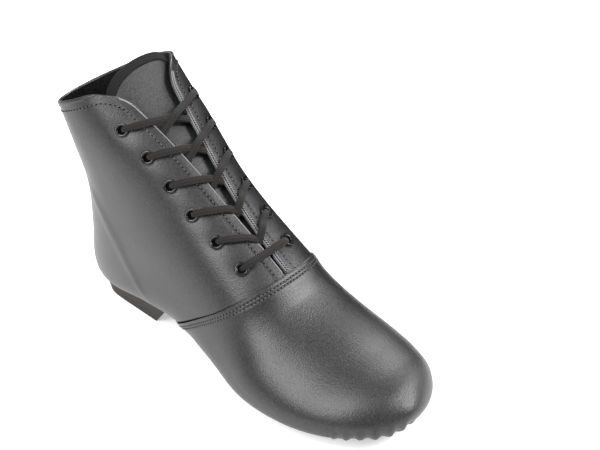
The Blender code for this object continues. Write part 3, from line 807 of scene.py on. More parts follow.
# %% Pleats, counter, crease and dents
PLEATS = 39
PLEAT_DEPTH = 1.5 * MM
PLEAT_CENTRE_X = 0.80 * LENGTH
PLEAT_TOP = 19.5 * MM
PLEAT_FADE = 7 * MM
PLEAT_INNER_DROP = 8 * MM
PLEAT_DROP_FROM = math.radians(-6)
PLEAT_DROP_TO = math.radians(8)
PLEAT_START = math.radians(0.6)
PLEAT_REACH = math.radians(64)
PLEAT_LEVEL = 0.45
COUNTER_TOP = (0.038, 0.085)
COUNTER_FRONT = (0.072, 0.034)
COUNTER_RISE = 0.6 * MM
COUNTER_WIDTH = 3.2 * MM
COUNTER_FADE_IN = (-12 * MM, 4 * MM)
COUNTER_FADE_OUT = (-4 * MM, 14 * MM)
CREASE_AHEAD = 17 * MM
CREASE_DEPTH = 0.55 * MM
CREASE_WIDTHS = (5.5 * MM, 13 * MM)
CREASE_ENDS = (-13 * MM, 17 * MM)
CREASE_FADE = (-9 * MM, 3 * MM)
EYELET_PULL = 0.5 * MM
EYELET_PULL_WIDTH = 5.5 * MM


def toe_pleats(points):
    """Gathers round the toe's lower edge, as troughs that fade out up the side."""
    angle = np.arctan2(points[..., 1], points[..., 0] - PLEAT_CENTRE_X)
    waves = 0.5 + 0.5 * np.cos((angle - PLEAT_START) * PLEATS + 0.3 * np.sin(angle * 5))
    top = PLEAT_TOP - PLEAT_INNER_DROP * smooth(angle, PLEAT_DROP_FROM, PLEAT_DROP_TO)
    low = 1 - smooth(points[..., 2], top - PLEAT_FADE, top)
    ends = 1 - smooth(np.abs(angle), 0.75 * PLEAT_REACH, PLEAT_REACH)
    return PLEAT_DEPTH * (waves - PLEAT_LEVEL) * low * ends


def counter_ridge(points):
    """The edge of the stiff heel counter under the leather, a soft ridge on each side."""
    start = np.array(COUNTER_TOP)
    along = np.array(COUNTER_FRONT) - start
    length = np.linalg.norm(along)
    along = along / length
    seen = points[..., [0, 2]] - start
    down = seen @ along
    off = seen @ np.array([-along[1], along[0]])
    ends = smooth(down, *COUNTER_FADE_IN) * (1 - smooth(down - length, *COUNTER_FADE_OUT))
    return COUNTER_RISE * hump(off, 0, COUNTER_WIDTH) * ends


def vamp_crease(side, seam, shares, girths):
    """A soft trough across the vamp ahead of the seam, where the boot bends in wear."""
    across = side * shares * girths[:, None]
    low, high = CREASE_ENDS
    ends = smooth(across - low, *CREASE_FADE) * smooth(high - across, *CREASE_FADE)
    width = np.where(seam > -CREASE_AHEAD, *CREASE_WIDTHS)
    return -CREASE_DEPTH * hump(seam, -CREASE_AHEAD, width) * ends


def eyelet_pull(side, shares, girths):
    """Shallow dents where the lace draws the leather down round the eyelets."""
    across = shares * girths[:, None]
    dents = np.zeros(shares.shape)
    for number in range(1, EYELETS + 1):
        rise, place = eyelet_place(side, number)
        away = np.hypot((UPPER_RISES - rise)[:, None], across - abs(place))
        dents += np.exp(-(away / EYELET_PULL_WIDTH) ** 2)
    return -EYELET_PULL * dents


print("toe:", PLEATS, "pleats to a full turn,", PLEAT_DEPTH / MM, "mm deep")

# %% [markdown]
# The upper itself adds them up. The vamp's lapped edge is a step that fades out forwards, with a narrow
# groove at its foot and two sewn channels along it. The collar and the facings are turned in, so a hem
# stands a little proud and ends at its stitches.

# %% Upper mesh
CHANNELS = (2.3 * MM, 4.3 * MM)
CHANNEL_DEPTH = 0.22 * MM
CHANNEL_WIDTH = 0.45 * MM
HEM_RISE = 0.35 * MM
HEM_FADE = (-0.3 * MM, 0.5 * MM)
HEM_CHANNEL_WIDTH = 0.5 * MM
LAP_GAP = 0.35 * MM
LAP_GAP_PLACE = 0.55 * MM
LAP_GAP_WIDTH = 0.35 * MM


def upper_half(side):
    """Outer and inner points of one half of the upper."""
    shares, girths = upper_shares(side)
    points = last_points(UPPER_ROWS, side, shares)
    normals = last_normals(UPPER_ROWS, side, shares)
    seam = seam_distance(points)
    border = border_distance(points, shares, girths)
    lap = np.where(seam <= 0, 1 - smooth(-seam, 0, SEAM_FADE), np.clip(1 - seam / SEAM_RAMP, 0, 1))
    height = SEAM_STEP * lap
    for channel in CHANNELS:
        height -= CHANNEL_DEPTH * hump(seam, -channel, CHANNEL_WIDTH)
    height += HEM_RISE * (1 - smooth(border - HEM, *HEM_FADE))
    height -= CHANNEL_DEPTH * hump(border, HEM, HEM_CHANNEL_WIDTH)
    height -= LAP_GAP * hump(seam, LAP_GAP_PLACE, LAP_GAP_WIDTH)
    height += toe_pleats(points) + counter_ridge(points)
    height += eyelet_pull(side, shares, girths) + vamp_crease(side, seam, shares, girths)
    outer = points + normals * height[..., None] + SHIFT
    inner = points - normals * WALL + SHIFT
    if side > 0:
        return outer, inner
    return outer[:, ::-1], inner[:, ::-1]


outer_halves, inner_halves = zip(*(upper_half(side) for side in (-1, 1)))
sheet("leather_upper", outer_halves, inner_halves, LEATHER, ["upper"])

# %% [markdown]
# ## Sole, heel and insole
#
# The boot has a split sole. A thin rubber sole lies under the ball and toes, and a low block with a
# slanted front under the heel; the arch between them is bare leather. Inside, a thin sock lies over the
# seams. A flat outline that is pushed up would gape under the curved foot. All three follow the underside
# of the last instead, so each is a grid of rows from front to back inside its own outline.

# %% Forefoot sole and sock
GAP = 0.3 * MM
SOLE_THICKNESS = 3.6 * MM
INSOLE_THICKNESS = 1.8 * MM
INSOLE_GAP = 0.9 * MM


def under_foot(rows, widths, columns, out):
    """Grid under the last, front to back and lateral to medial."""
    halves = []
    for side in (-1, 1):
        edges = low_shares(rows, side, widths)
        shares = 1 + (edges - 1)[:, None] * np.sin(np.linspace(0, math.pi / 2, columns))
        half = last_points(rows, side, shares) + last_normals(rows, side, shares) * out
        halves.append(half[:, ::-1] if side < 0 else half[:, 1:])
    return np.concatenate(halves, axis=1) + SHIFT


def tread_layer(tread, count, columns, out):
    """Grid under the last inside a tread's outline, with its rows closer together at both ends."""
    along = (1 - np.cos(np.linspace(0, math.pi, count))) / 2
    rows = tread.front + (tread.back - tread.front) * along
    return under_foot(rows, tread_share(tread, rows), columns, out)


sole_top = tread_layer(FOREFOOT_SOLE, 70, 26, GAP)
sole_bottom = tread_layer(FOREFOOT_SOLE, 70, 26, GAP + SOLE_THICKNESS)
sole_bottom[..., 2] = np.maximum(sole_bottom[..., 2], 0)
sheet("forefoot_rubber", [sole_bottom], [sole_top], RUBBER, ["forefoot_sole"], 0.35)

insole_low = tread_layer(INSOLE, 90, 20, -(WALL + INSOLE_GAP))
insole_top = tread_layer(INSOLE, 90, 20, -(WALL + INSOLE_GAP + INSOLE_THICKNESS))
sheet("sock", [insole_low], [insole_top], SOCK, ["insole"], 0.6)

# %% [markdown]
# The heel block's top is cut to the last like the sole, straight in front and round behind. Its foot is
# the same outline laid flat on the floor, a little shorter in front and narrower, which gives the slanted
# front face. A bevelled box would be quicker, but it wouldn't meet the curved leather.

# %% Heel block
HEEL_FOOT_FRONT = 64.5 * MM
HEEL_FOOT_BACK = 6 * MM
HEEL_FOOT_NARROWING = 0.93

heel_along = np.sin(np.linspace(0, math.pi / 2, 40))
heel_rows = HEEL_TOP.front + (HEEL_TOP.back - HEEL_TOP.front) * heel_along
heel_widths = HEEL_TOP.share * np.sqrt(np.maximum(1 - heel_along ** HEEL_TOP.power, 0))
heel_top = under_foot(heel_rows, heel_widths, 18, GAP)
heel_bottom = heel_top.copy()
heel_x = heel_top[..., 0]
heel_share = (heel_x - heel_x.min()) / (heel_x.max() - heel_x.min())
heel_bottom[..., 0] = SHIFT[0] + HEEL_FOOT_BACK + heel_share * (HEEL_FOOT_FRONT - HEEL_FOOT_BACK)
heel_bottom[..., 1] = SHIFT[1] + (heel_top[..., 1] - SHIFT[1]) * HEEL_FOOT_NARROWING
heel_bottom[..., 2] = 0
sheet("heel_rubber", [heel_bottom], [heel_top], RUBBER, ["heel"], 0.05)

# %% [markdown]
# ## Tongue
#
# The tongue is a soft leather strip under the throat, sewn in at the vamp. It widens upwards, leans to
# the inner side, and its round top is bound with woven tape that is folded over the edge. A cloth
# simulation could drape it, but it lies close to the instep, so a grid a little below the facings,
# crowned across, gives the same form each time. The tape is a second sheet round the same outline,
# thicker than the leather that it wraps.

# %% Tongue
TONGUE_THICKNESS = 1.4 * MM
TONGUE_GAP = 2.6 * MM
TONGUE_FOOT_HALF_WIDTH = 18 * MM
TONGUE_HALF_WIDTH = 30.5 * MM
TONGUE_LEAN = 7 * MM
TONGUE_FOOT_RISE = -12 * MM
TONGUE_TOP_RISE = 140.8 * MM
TONGUE_TOP_ROUND = 20 * MM
TONGUE_CROWN = 1.3 * MM
TONGUE_COLUMNS = 49
TONGUE_DEPTH = WALL + TONGUE_GAP
ROUND_START = TONGUE_TOP_RISE - TONGUE_TOP_ROUND


def tongue_width(rises):
    """Middle and half width of the tongue, which widens and leans to the medial side towards its top."""
    share = np.minimum((rises - TONGUE_FOOT_RISE) / (ROUND_START - TONGUE_FOOT_RISE), 1)
    return TONGUE_LEAN * share, TONGUE_FOOT_HALF_WIDTH + share * (TONGUE_HALF_WIDTH - TONGUE_FOOT_HALF_WIDTH)


def tongue_layer(rises, across, depth):
    """Points this deep under the last, and deeper towards the sides, since the soft tongue is crowned."""
    middle, half_width = tongue_width(rises)
    sunk = depth + TONGUE_CROWN * ((across - middle) / half_width) ** 2
    points, _ = on_instep(rises.ravel(), across.ravel(), -sunk.ravel())
    return points.reshape(*rises.shape, 3)


def tongue_grid(depth):
    """Rows up the tongue at one depth, narrowing round its top."""
    turns = np.linspace(0, math.pi / 2, 26)[1:]
    straight = np.linspace(TONGUE_FOOT_RISE, ROUND_START, 80)
    rises = np.concatenate([straight, ROUND_START + TONGUE_TOP_ROUND * np.sin(turns)])
    middle, half_width = tongue_width(rises)
    half_width = half_width * np.concatenate([np.ones(len(straight)), np.cos(turns)])
    across = middle[:, None] + half_width[:, None] * np.linspace(-1, 1, TONGUE_COLUMNS)
    return tongue_layer(np.repeat(rises[:, None], TONGUE_COLUMNS, axis=1), across, depth)


tongue_face = tongue_grid(TONGUE_DEPTH)
tongue_back = tongue_grid(TONGUE_DEPTH + TONGUE_THICKNESS)
sheet("tongue_leather", [tongue_face], [tongue_back], TONGUE_LEATHER, ["tongue"])

# %% Tape round the tongue
BINDING_GAP = 0.1 * MM
BINDING_WIDTH = 3.6 * MM
BINDING_PROUD = 0.5 * MM
BINDING_TAIL = 20 * MM


def binding_grid(depth):
    """The tape's path up one side of the tongue, round its top and down the other, line by line."""
    turns = np.linspace(0, math.pi, 61)
    tail = ROUND_START - np.linspace(BINDING_TAIL, 0, 16, endpoint=False)
    rises = []
    across = []
    for spread in np.linspace(BINDING_GAP, BINDING_WIDTH, 13):
        tip = TONGUE_TOP_ROUND + spread
        rises.append(np.concatenate([tail, ROUND_START + tip * np.sin(turns), tail[::-1]]))
        middle, half_width = tongue_width(tail)
        round_top = TONGUE_LEAN - (TONGUE_HALF_WIDTH + spread) * np.cos(turns)
        across.append(
            np.concatenate([middle - half_width - spread, round_top, (middle + half_width + spread)[::-1]])
        )
    return tongue_layer(np.array(rises), np.array(across), depth)


binding_outer = binding_grid(TONGUE_DEPTH - BINDING_PROUD)
binding_inner = binding_grid(TONGUE_DEPTH + TONGUE_THICKNESS + BINDING_PROUD)
sheet("tongue_tape", [binding_outer], [binding_inner], TAPE, ["tongue_binding"])

# %% [markdown]
# ## Eyelets
#
# Each eyelet is a small turned ring of enamelled metal: a barrel through the leather with a rolled flange
# on it. A torus would lack the barrel, and cutting twelve holes into the leather's grid would spoil its
# even quads. So a profile is turned about the leather's own normal, once for each place that the CAD part
# gives, and a dark matt cup fills each bore, over the leather: painted shade, where the eye expects the
# shade of a hole.

# %% Turned rings
EYELET_BORE = 2.2 * MM
EYELET_BARREL = 2.7 * MM
EYELET_FLANGE = 4.0 * MM
EYELET_CROWN = 1.0 * MM
EYELET_DEPTH = 2.1 * MM
RING_SIDES = 48


def ring_profile():
    """Radius and height round the ring's cut face: over the rolled flange, down the bore, up the barrel."""
    middle = (EYELET_FLANGE + EYELET_BORE) / 2
    roll = (EYELET_FLANGE - EYELET_BORE) / 2
    turns = np.linspace(0, math.pi, 11)
    rolled = [(middle + roll * math.cos(t), GAP + (EYELET_CROWN - GAP) * math.sin(t)) for t in turns]
    return rolled + [(EYELET_BORE, -EYELET_DEPTH), (EYELET_BARREL, -EYELET_DEPTH), (EYELET_BARREL, GAP)]


def turned(side, number, profile):
    """Points and faces of a closed profile of radii and heights, turned about an eyelet's axis."""
    rise, across = eyelet_place(side, number)
    points, normals = on_instep([rise], [across], 0)
    normal = normals[0]
    first = unit(np.cross([0.0, 1.0, 0.0], normal))
    second = np.cross(normal, first)
    turns = np.linspace(0, 2 * math.pi, RING_SIDES, endpoint=False)
    ring = [
        points[0] + radius * (first * math.cos(t) + second * math.sin(t)) + normal * height
        for radius, height in profile
        for t in turns
    ]
    numbers = np.arange(len(ring)).reshape(len(profile), RING_SIDES)
    numbers = np.vstack([numbers, numbers[:1]])
    return ring, grid_faces(np.hstack([numbers, numbers[:, :1]]))


print("ring profile:", len(ring_profile()), "points")

# %% Rings and painted shade in the bores
CUP_OUTSIDE = EYELET_BORE - 0.02 * MM
CUP_INSIDE = EYELET_BORE - 0.08 * MM
CUP_TOP = 0.4 * MM
CUP_FLOOR = -0.3 * MM
CUP_CENTRE = 0.1 * MM
# The cup is painted shade: a near-black matt lining for the shade inside each bore.
BORE_SHADE_CUP = [
    (CUP_OUTSIDE, CUP_TOP),
    (CUP_OUTSIDE, -EYELET_DEPTH),
    (CUP_CENTRE, -EYELET_DEPTH),
    (CUP_CENTRE, CUP_FLOOR),
    (CUP_INSIDE, CUP_FLOOR),
    (CUP_INSIDE, CUP_TOP),
]
bore_shade_points = []
bore_shade_faces = []
for word, side in (("lateral", -1), ("medial", 1)):
    for number in range(1, EYELETS + 1):
        ring, faces = turned(side, number, ring_profile())
        new_piece(f"ring_{word}_{number}", ring, faces, ENAMEL, [f"eyelet_{word}_{number}"])
        cup, faces = turned(side, number, BORE_SHADE_CUP)
        bore_shade_faces += [[v + len(bore_shade_points) for v in face] for face in faces]
        bore_shade_points += cup
# Painted shade: all twelve dark cups in the bores as one piece.
new_piece("eyelet_bore_shades", bore_shade_points, bore_shade_faces, HOLE_SHADE_FINISH)

# %% [markdown]
# ## Lace
#
# One flat woven lace starts inside the boot at the top outer eyelet and ends inside at the top inner one.
# It comes up through an eyelet, lies over the facing, crosses the throat, dips under the far facing's
# edge and comes up through the next eyelet on that side; at the bottom it makes a straight bar. The run
# from the inner side is the upper one at every crossing. Its route is a list of marks on the instep:
# rise, distance across, height over the last and how far the flat lace is bunched up.

# %% Route of the lace
LACE_WIDTH = 4.2 * MM
LACE_THICKNESS = 2.0 * MM
LACE_LIES = 1.9 * MM
LACE_UNDER = 3.0 * MM
LACE_OVER = 1.7 * MM
LACE_LEAN = 0.8 * MM
LACE_IN_BORE = 0.6 * MM
LACE_ON_FLANGE = 1.3 * MM
LACE_AT_EDGE = 0.7 * MM
EDGE_CLEARANCE = 0.8 * MM
BEHIND_EDGE = 2.0 * MM
BEFORE_EYELET = 4 * MM
Mark = namedtuple("Mark", "rise across height bunched")


def through_eyelet(rise, across):
    """Two marks up through an eyelet, where the lace is bunched up."""
    return [Mark(rise, across, -LACE_UNDER, 0.75), Mark(rise, across, -LACE_IN_BORE, 0.9)]


def run_marks(number, side):
    """From an eyelet over the throat and under the far facing, up to just before the next eyelet."""
    rise, hole = eyelet_place(side, number)
    start = hole - side * LACE_LEAN
    next_rise, target = eyelet_place(-side, number + 1)
    over = LACE_OVER if side > 0 else 0.0
    drop = rise - next_rise
    reach = target - start
    edge_rise = rise - 0.62 * drop
    gap = float(throat_gap(edge_rise))
    far_edge = -side * (gap - EDGE_CLEARANCE)
    edge = (far_edge - start) / reach
    return through_eyelet(rise, start) + [
        Mark(rise - 0.02 * drop, start + 0.02 * reach, LACE_ON_FLANGE, 0.6),
        Mark(rise - 0.09 * drop, start + 0.13 * reach, LACE_LIES, 0.1),
        Mark(rise - 0.2 * drop, start + 0.3 * edge * reach + 0.07 * reach, LACE_LIES, 0.0),
        Mark(rise - 0.38 * drop, start + 0.72 * edge * reach, LACE_LIES + over, 0.0),
        Mark(edge_rise, far_edge, -LACE_AT_EDGE, 0.1),
        Mark(edge_rise - 0.07 * drop, -side * (gap + BEHIND_EDGE), -LACE_UNDER, 0.1),
        Mark(next_rise + 0.1 * drop, target + side * BEFORE_EYELET, -LACE_UNDER, 0.3),
    ]


def bar_marks():
    """The straight bar between the lowest pair, from the outer eyelet to the inner one."""
    rise, left = eyelet_place(-1, EYELETS)
    _, right = eyelet_place(1, EYELETS)
    span = right - left
    over = [Mark(rise, left + share * span, LACE_LIES, 0.0) for share in (0.12, 0.3, 0.5, 0.7, 0.88)]
    return through_eyelet(rise, left) + over + through_eyelet(rise, right)[::-1]


def lace_route():
    """All marks from the top outer eyelet down one strand, over the bar and up the other strand."""
    down = []
    up = []
    for number in range(1, EYELETS):
        side = -1 if number % 2 else 1
        down += run_marks(number, side)
        up = run_marks(number, -side)[::-1] + up
    bar = bar_marks()
    if EYELETS % 2 == 0:
        bar = bar[::-1]
    return down + bar + up


route = lace_route()
print("lace:", len(route), "marks")

# %% [markdown]
# A bevelled curve would be the quick way to draw the lace, but it would twist where the lace turns and
# stay flat in its eyelets. Here a smooth curve runs through the marks, each step keeps its flat side to
# the leather, and a rounded flat section is swept along it, narrower where the lace is bunched.

# %% Lace mesh
LACE_STEP = 1.1 * MM
LACE_SIDES = 20
LACE_ROUNDNESS = 0.75
BUNCHED_NARROWER = 0.36
BUNCHED_THICKER = 0.15
CURVE_PARTS = 12
UNTWIST_ROUNDS = 6


def spline(values, parts):
    """Points on a smooth curve through the rows of values."""
    padded = np.vstack([2 * values[0] - values[1], values, 2 * values[-1] - values[-2]])
    t = np.linspace(0, 1, parts, endpoint=False)[:, None]
    pieces = [between(*four, t) for four in zip(padded, padded[1:], padded[2:], padded[3:])]
    return np.vstack([*pieces, values[-1:]])


def lace_frames(marks):
    """Middle points, flat directions and bunching along the lace, at even steps."""
    table = np.array(marks)
    points, normals = on_instep(table[:, 0], table[:, 1], table[:, 2])
    dense = spline(np.hstack([points, normals, table[:, 3:]]), CURVE_PARTS)
    along = lengths_along(dense[:, :3])
    even = np.linspace(0, along[-1], int(along[-1] / LACE_STEP))
    found = at_lengths(even, along, dense)
    points, normals, bunched = found[:, :3], unit(found[:, 3:6]), np.clip(found[:, 6], 0, 1)
    ahead = unit(np.gradient(points, axis=0))
    flat = unit(ahead - (ahead * normals).sum(axis=1, keepdims=True) * normals)
    wide = np.cross(flat, normals)
    for i in range(1, len(wide)):
        if wide[i] @ wide[i - 1] < 0:
            wide[i] = -wide[i]
    for _ in range(UNTWIST_ROUNDS):
        wide[1:-1] = unit(wide[:-2] + 2 * wide[1:-1] + wide[2:])
    wide = unit(wide - (wide * ahead).sum(axis=1, keepdims=True) * ahead)
    return points, wide, np.cross(wide, ahead), bunched, even


def add_lace():
    """The lace as one closed tube, with the two numbers that its finish reads."""
    points, wide, high, bunched, along = lace_frames(route)
    turns = np.linspace(0, 2 * math.pi, LACE_SIDES, endpoint=False)
    x = np.sign(np.cos(turns)) * np.abs(np.cos(turns)) ** LACE_ROUNDNESS
    y = np.sign(np.sin(turns)) * np.abs(np.sin(turns)) ** LACE_ROUNDNESS
    half_width = LACE_WIDTH / 2 * (1 - BUNCHED_NARROWER * bunched)
    half_height = LACE_THICKNESS / 2 * (1 + BUNCHED_THICKER * bunched)
    rings = points[:, None] + wide[:, None] * (x * half_width[:, None])[..., None]
    rings = rings + high[:, None] * (y * half_height[:, None])[..., None]
    count = len(points)
    numbers = np.arange(count * LACE_SIDES).reshape(count, LACE_SIDES)
    faces = grid_faces(np.hstack([numbers, numbers[:, :1]]))
    faces += [numbers[0].tolist(), numbers[-1][::-1].tolist()]
    nodes = ["lace_bar"] + [f"lace_cross_{number}" for number in range(1, EYELETS)]
    piece = new_piece("woven_lace", rings.reshape(-1, 3), faces, CORD, nodes)
    around = np.abs(np.linspace(-1, 1, LACE_SIDES, endpoint=False))
    add_attribute(piece, "along", np.repeat(along, LACE_SIDES))
    add_attribute(piece, "around", np.tile(around, count))
    print("lace length", round(float(along[-1]), 3), "m")


add_lace()

# %% [markdown]
# ## Stitches
#
# Stitches are short rounded threads laid on the leather at an even pitch, with a dark bead between each two
# that is painted shade for the needle's hole. An array along a curve could repeat one stitch, but it
# wouldn't turn each to the leather's own normal. So a bead is placed at even lengths along lines that are
# worked out from the same distances as the relief.

# %% Beads along a line
STITCH_SIDES = 8
STITCH_RINGS = 5
STITCH_ROUNDNESS = 0.6
ROWS_AHEAD = 0.4


def stitch_mesh(length, width, height):
    """One stitch along x: a flattened bead, as points and faces."""
    turns = np.linspace(0, math.pi, STITCH_RINGS + 2)
    around = np.linspace(0, 2 * math.pi, STITCH_SIDES, endpoint=False)
    points = []
    for t in turns:
        for a in around:
            radius = math.sin(t) ** STITCH_ROUNDNESS
            across = (radius * math.cos(a) * width / 2, radius * math.sin(a) * height / 2)
            points.append((-math.cos(t) * length / 2, *across))
    numbers = np.arange(len(points)).reshape(len(turns), STITCH_SIDES)
    numbers[0] = numbers[0, 0]
    numbers[-1] = numbers[-1, 0]
    return np.array(points), grid_faces(np.hstack([numbers, numbers[:, :1]]))


def along_line(points, normals, pitch, start):
    """Places, directions and normals at an even pitch along a line, the first at a share of the pitch."""
    lengths = lengths_along(points)
    even = np.arange(start * pitch, lengths[-1], pitch)
    directions = at_lengths(even, lengths, np.gradient(points, axis=0))
    return at_lengths(even, lengths, points), unit(directions), unit(at_lengths(even, lengths, normals))


def add_stitches(name, lines, pitch, size, material, slant=0.0, start=0.5):
    """All stitches of one kind on lines of points with normals, each turned by slant on the leather."""
    bead, bead_faces = stitch_mesh(*size)
    points = []
    faces = []
    for line_points, line_normals in lines:
        for place, direction, out in zip(*along_line(line_points, line_normals, pitch, start)):
            sideways = unit(np.cross(out, direction))
            forward = direction * math.cos(slant) + sideways * math.sin(slant)
            sideways = np.cross(out, forward)
            faces += [[v + len(points) * len(bead) for v in face] for face in bead_faces]
            points.append(place + bead @ np.stack([forward, sideways, out]))
    new_piece(name, np.concatenate(points), faces, material)


def row_line(side, rows, shares, out):
    """Points and normals at row numbers and shares on one side of the last."""
    shares = np.asarray(shares)[:, None]
    points = last_points(rows, side, shares)[:, 0]
    normals = last_normals(rows, side, shares)[:, 0]
    return points + normals * out + SHIFT, normals


def rows_before(row, side, shares, distance):
    """Row numbers this distance before a row, towards the toe, measured along the last at each share."""
    edge = last_points([row], side, shares[None])[0]
    ahead = last_points([row - ROWS_AHEAD], side, shares[None])[0]
    return row - ROWS_AHEAD * distance / np.linalg.norm(edge - ahead, axis=1)


print("stitch helpers are ready")

# %% [markdown]
# The vamp is sewn down with two rows, which stand a little higher at the arch. Under the vamp's edge a gap
# in shade is open at the arch and closes over the instep. A gap cut into the leather would need a much finer
# grid, so its shade is painted: a line of long flat beads that overlap, matt and dark, and sink into the
# leather on the way up.

# %% Stitches of the vamp
STITCH = (1.7 * MM, 0.65 * MM, 0.6 * MM)
# Painted shade: the dark bead between two stitches stands for the shade in the needle's hole.
NEEDLE_HOLE_SHADE = (0.9 * MM, 0.75 * MM, 0.3 * MM)
VAMP_PITCH = 2.3 * MM
THREAD_RISE = 0.1 * MM
LOW_RISE = 0.2 * MM
# Painted shade under the vamp's edge: the dark beads' size, pitch, place and sink.
EDGE_GAP_SHADE = (2.6 * MM, 1.8 * MM, 0.9 * MM)
EDGE_GAP_PITCH = 1.4 * MM
EDGE_GAP_BEHIND = 0.7 * MM
EDGE_GAP_RISE = 0.1 * MM
EDGE_GAP_SINK = 0.52 * MM
ARCH_END = 0.93
SINK_SHARES = (0.3, 0.85)


def vamp_line(ahead, height, sink):
    """A line this far ahead of the vamp's edge, from arch to arch, lower by sink over the instep."""
    parts = []
    for side in (-1, 1):
        shares = np.linspace(0, ARCH_END, 120)
        rows = rows_before(SEAM, side, shares, ahead)
        heights = height - sink * (1 - smooth(shares, *SINK_SHARES))
        points, normals = row_line(side, rows, shares, heights[:, None])
        parts.append((points[::-1], normals[::-1]) if side < 0 else (points[1:], normals[1:]))
    return tuple(np.concatenate(pair) for pair in zip(*parts))


vamp_lines = []
for channel in CHANNELS:
    lap_height = SEAM_STEP * (1 - smooth(channel, 0, SEAM_FADE))
    vamp_lines.append(vamp_line(channel, lap_height - CHANNEL_DEPTH + THREAD_RISE + LOW_RISE, LOW_RISE))
gap_shade_lines = [vamp_line(-EDGE_GAP_BEHIND, EDGE_GAP_RISE, EDGE_GAP_SINK)]
add_stitches("vamp_stitches", vamp_lines, VAMP_PITCH, STITCH, THREAD)
# Painted shade for the needle's holes between the vamp's stitches.
add_stitches("vamp_needle_hole_shades", vamp_lines, VAMP_PITCH, NEEDLE_HOLE_SHADE, HOLE_SHADE_FINISH, start=0.0)
# Painted shade: dark matt beads stand for the shade in the gap under the vamp's edge.
add_stitches("vamp_edge_gap_shade", gap_shade_lines, EDGE_GAP_PITCH, EDGE_GAP_SHADE, HOLE_SHADE_FINISH)

# %% [markdown]
# One row holds the hem, up each facing, round the corner and along the collar to the middle of the back.
# A bump texture could draw it, but real threads cast small shadows. Its line is joined from three
# stretches, each measured from the edge beside it, as a maker does.

# %% Stitches of the hem
HEM_STITCH_INSET = 5.0 * MM
HEM_STITCH_FOOT = 4 * MM
HEM_THREAD_RISE = 0.25 * MM
HEM_PITCH = 2.6 * MM


def hem_line(side):
    """Up the facing, round the corner and along the collar to the middle of the back."""
    inset = HEM_STITCH_INSET
    height = HEM_RISE / 2 - CHANNEL_DEPTH + HEM_THREAD_RISE
    rises = np.linspace(HEM_STITCH_FOOT, COLLAR_RISE - COLLAR_CORNER, 80)
    facing = on_instep(rises, side * (facing_gap(rises) + inset), height)
    turns = np.linspace(0, math.pi / 2, 24)[1:]
    bend = COLLAR_CORNER - inset
    corner_rises = COLLAR_RISE - COLLAR_CORNER + bend * np.sin(turns)
    corner_across = facing_gap(corner_rises) + COLLAR_CORNER - bend * np.cos(turns)
    corner = on_instep(corner_rises, side * corner_across, height)
    first = corner_across[-1] / float(half_girths([row_at(corner_rises[-1])], side)[0])
    shares = np.linspace(first, 1, 90)[1:]
    collar = row_line(side, rows_before(COLLAR, side, shares, inset), shares, height)
    return tuple(np.concatenate(pair) for pair in zip(facing, corner, collar))


hem_lines = [hem_line(side) for side in (-1, 1)]
add_stitches("hem_stitches", hem_lines, HEM_PITCH, STITCH, THREAD)
# Painted shade for the needle's holes between the hem's stitches.
add_stitches("hem_needle_hole_shades", hem_lines, HEM_PITCH, NEEDLE_HOLE_SHADE, HOLE_SHADE_FINISH, start=0.0)

# %% [markdown]
# Along the inner facing a waxed thread is whipped over the edge, so it looks like a twisted cord: the same
# beads, turned by a slant, whose pale colour is a painted highlight. The dark groove under it is painted
# shade, a strip of dark matt beads. The edge of each facing catches the light as a thin pale line, which is
# a painted highlight of beads too. Two curves twisted together could draw the cord, but at this size slanted
# beads look the same and need no new helper.

# %% Rope stitch, painted groove shade and painted edge highlights
ROPE_PITCH = 1.4 * MM
ROPE_STITCH = (1.9 * MM, 0.7 * MM, 1.0 * MM)
ROPE_GROOVE_SHADE = (1.7 * MM, 2.2 * MM, 0.5 * MM)
ROPE_SLANT = math.radians(40)
ROPE_INSET = 1.4 * MM
ROPE_LIFT = 0.1 * MM
CUT_PITCH = 1.5 * MM
EDGE_HIGHLIGHT_BEAD = (2.2 * MM, 0.55 * MM, 0.5 * MM)
CUT_INSET = 0.1 * MM
FACING_FOOT = 2 * MM
FACING_HEAD = COLLAR_RISE - 8 * MM


def facing_line(side, inset, height):
    """A line up the facing and into the corner, this far from its edge."""
    rises = np.linspace(FACING_FOOT, FACING_HEAD, 120)
    return on_instep(rises, side * (throat_gap(rises) + inset), height)


rope_lines = [facing_line(1, ROPE_INSET, HEM_RISE + ROPE_LIFT)]
groove_shade_lines = [facing_line(1, ROPE_INSET, HEM_RISE - ROPE_LIFT)]
edge_highlight_lines = [facing_line(side, CUT_INSET, HEM_RISE) for side in (-1, 1)]
# The rope stitch's pale colour is a painted highlight.
add_stitches("rope_stitches", rope_lines, ROPE_PITCH, ROPE_STITCH, THREAD_HIGHLIGHT_FINISH, ROPE_SLANT)
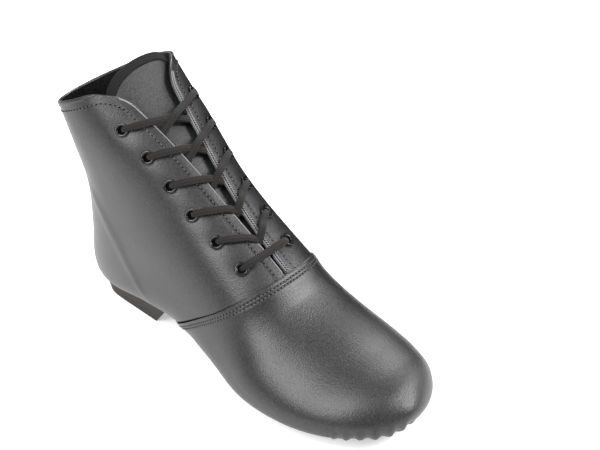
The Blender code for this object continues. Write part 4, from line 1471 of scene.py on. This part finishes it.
# Painted shade: a strip of dark matt beads for the groove under the rope stitch.
add_stitches("rope_groove_shade", groove_shade_lines, ROPE_PITCH, ROPE_GROOVE_SHADE, HOLE_SHADE_FINISH)
# Painted highlight: pale beads along each facing's edge, where it catches the light.
add_stitches("facing_edge_highlights", edge_highlight_lines, CUT_PITCH, EDGE_HIGHLIGHT_BEAD, EDGE_HIGHLIGHT_FINISH)

# %% [markdown]
# ## Floor
#
# A plain white floor carries the boot. It is the largest thing that the leather reflects, so it is plain
# and matt, and it glows a little to stay white in the picture, with only a weak shadow under the boot.
# Beside the inner side stands what a studio calls a flag, a dark card that takes light away. The camera
# doesn't see it and it casts no shadow; it only shows in the leather, where it keeps the inner quarter
# dark.

# %% White floor and dark flag
FLOOR_HALF_SIZE = 8.0
FLOOR_LEVEL = -0.2 * MM
FLOOR_GLOW = 0.42
FLAG_Y = 0.14
FLAG_OUTLINE = ((-0.30, 0.0), (0.085, 0.0), (0.085, 0.10), (0.05, 0.15), (0.0, 0.21), (-0.30, 0.21))


def floor_finish():
    made = Finish("white floor", (0.78, 0.78, 0.78), 0.9, specular=0.1)
    made.shader.inputs["Emission Color"].default_value = (1, 1, 1, 1)
    made.shader.inputs["Emission Strength"].default_value = FLOOR_GLOW
    return made.material


def stage_card(name, corners, material):
    """A flat card of the studio, which isn't part of the boot."""
    mesh = bpy.data.meshes.new(name)
    mesh.from_pydata(corners, [], [range(len(corners))])
    mesh.materials.append(material)
    card = bpy.data.objects.new(name, mesh)
    bpy.context.scene.collection.objects.link(card)
    return card


floor_corners = [
    (x * FLOOR_HALF_SIZE, y * FLOOR_HALF_SIZE, FLOOR_LEVEL)
    for x, y in ((-1, -1), (1, -1), (1, 1), (-1, 1))
]
flag_finish = Finish("dark flag", (0.004, 0.004, 0.004), 1.0, specular=0.0).material
floor = stage_card("floor", floor_corners, floor_finish())
flag = stage_card("dark_flag", [(x, FLAG_Y, z) for x, z in FLAG_OUTLINE], flag_finish)
flag.visible_camera = False
flag.visible_diffuse = False
flag.visible_shadow = False
print("floor", FLOOR_HALF_SIZE * 2, "m wide, flag at y", FLAG_Y)
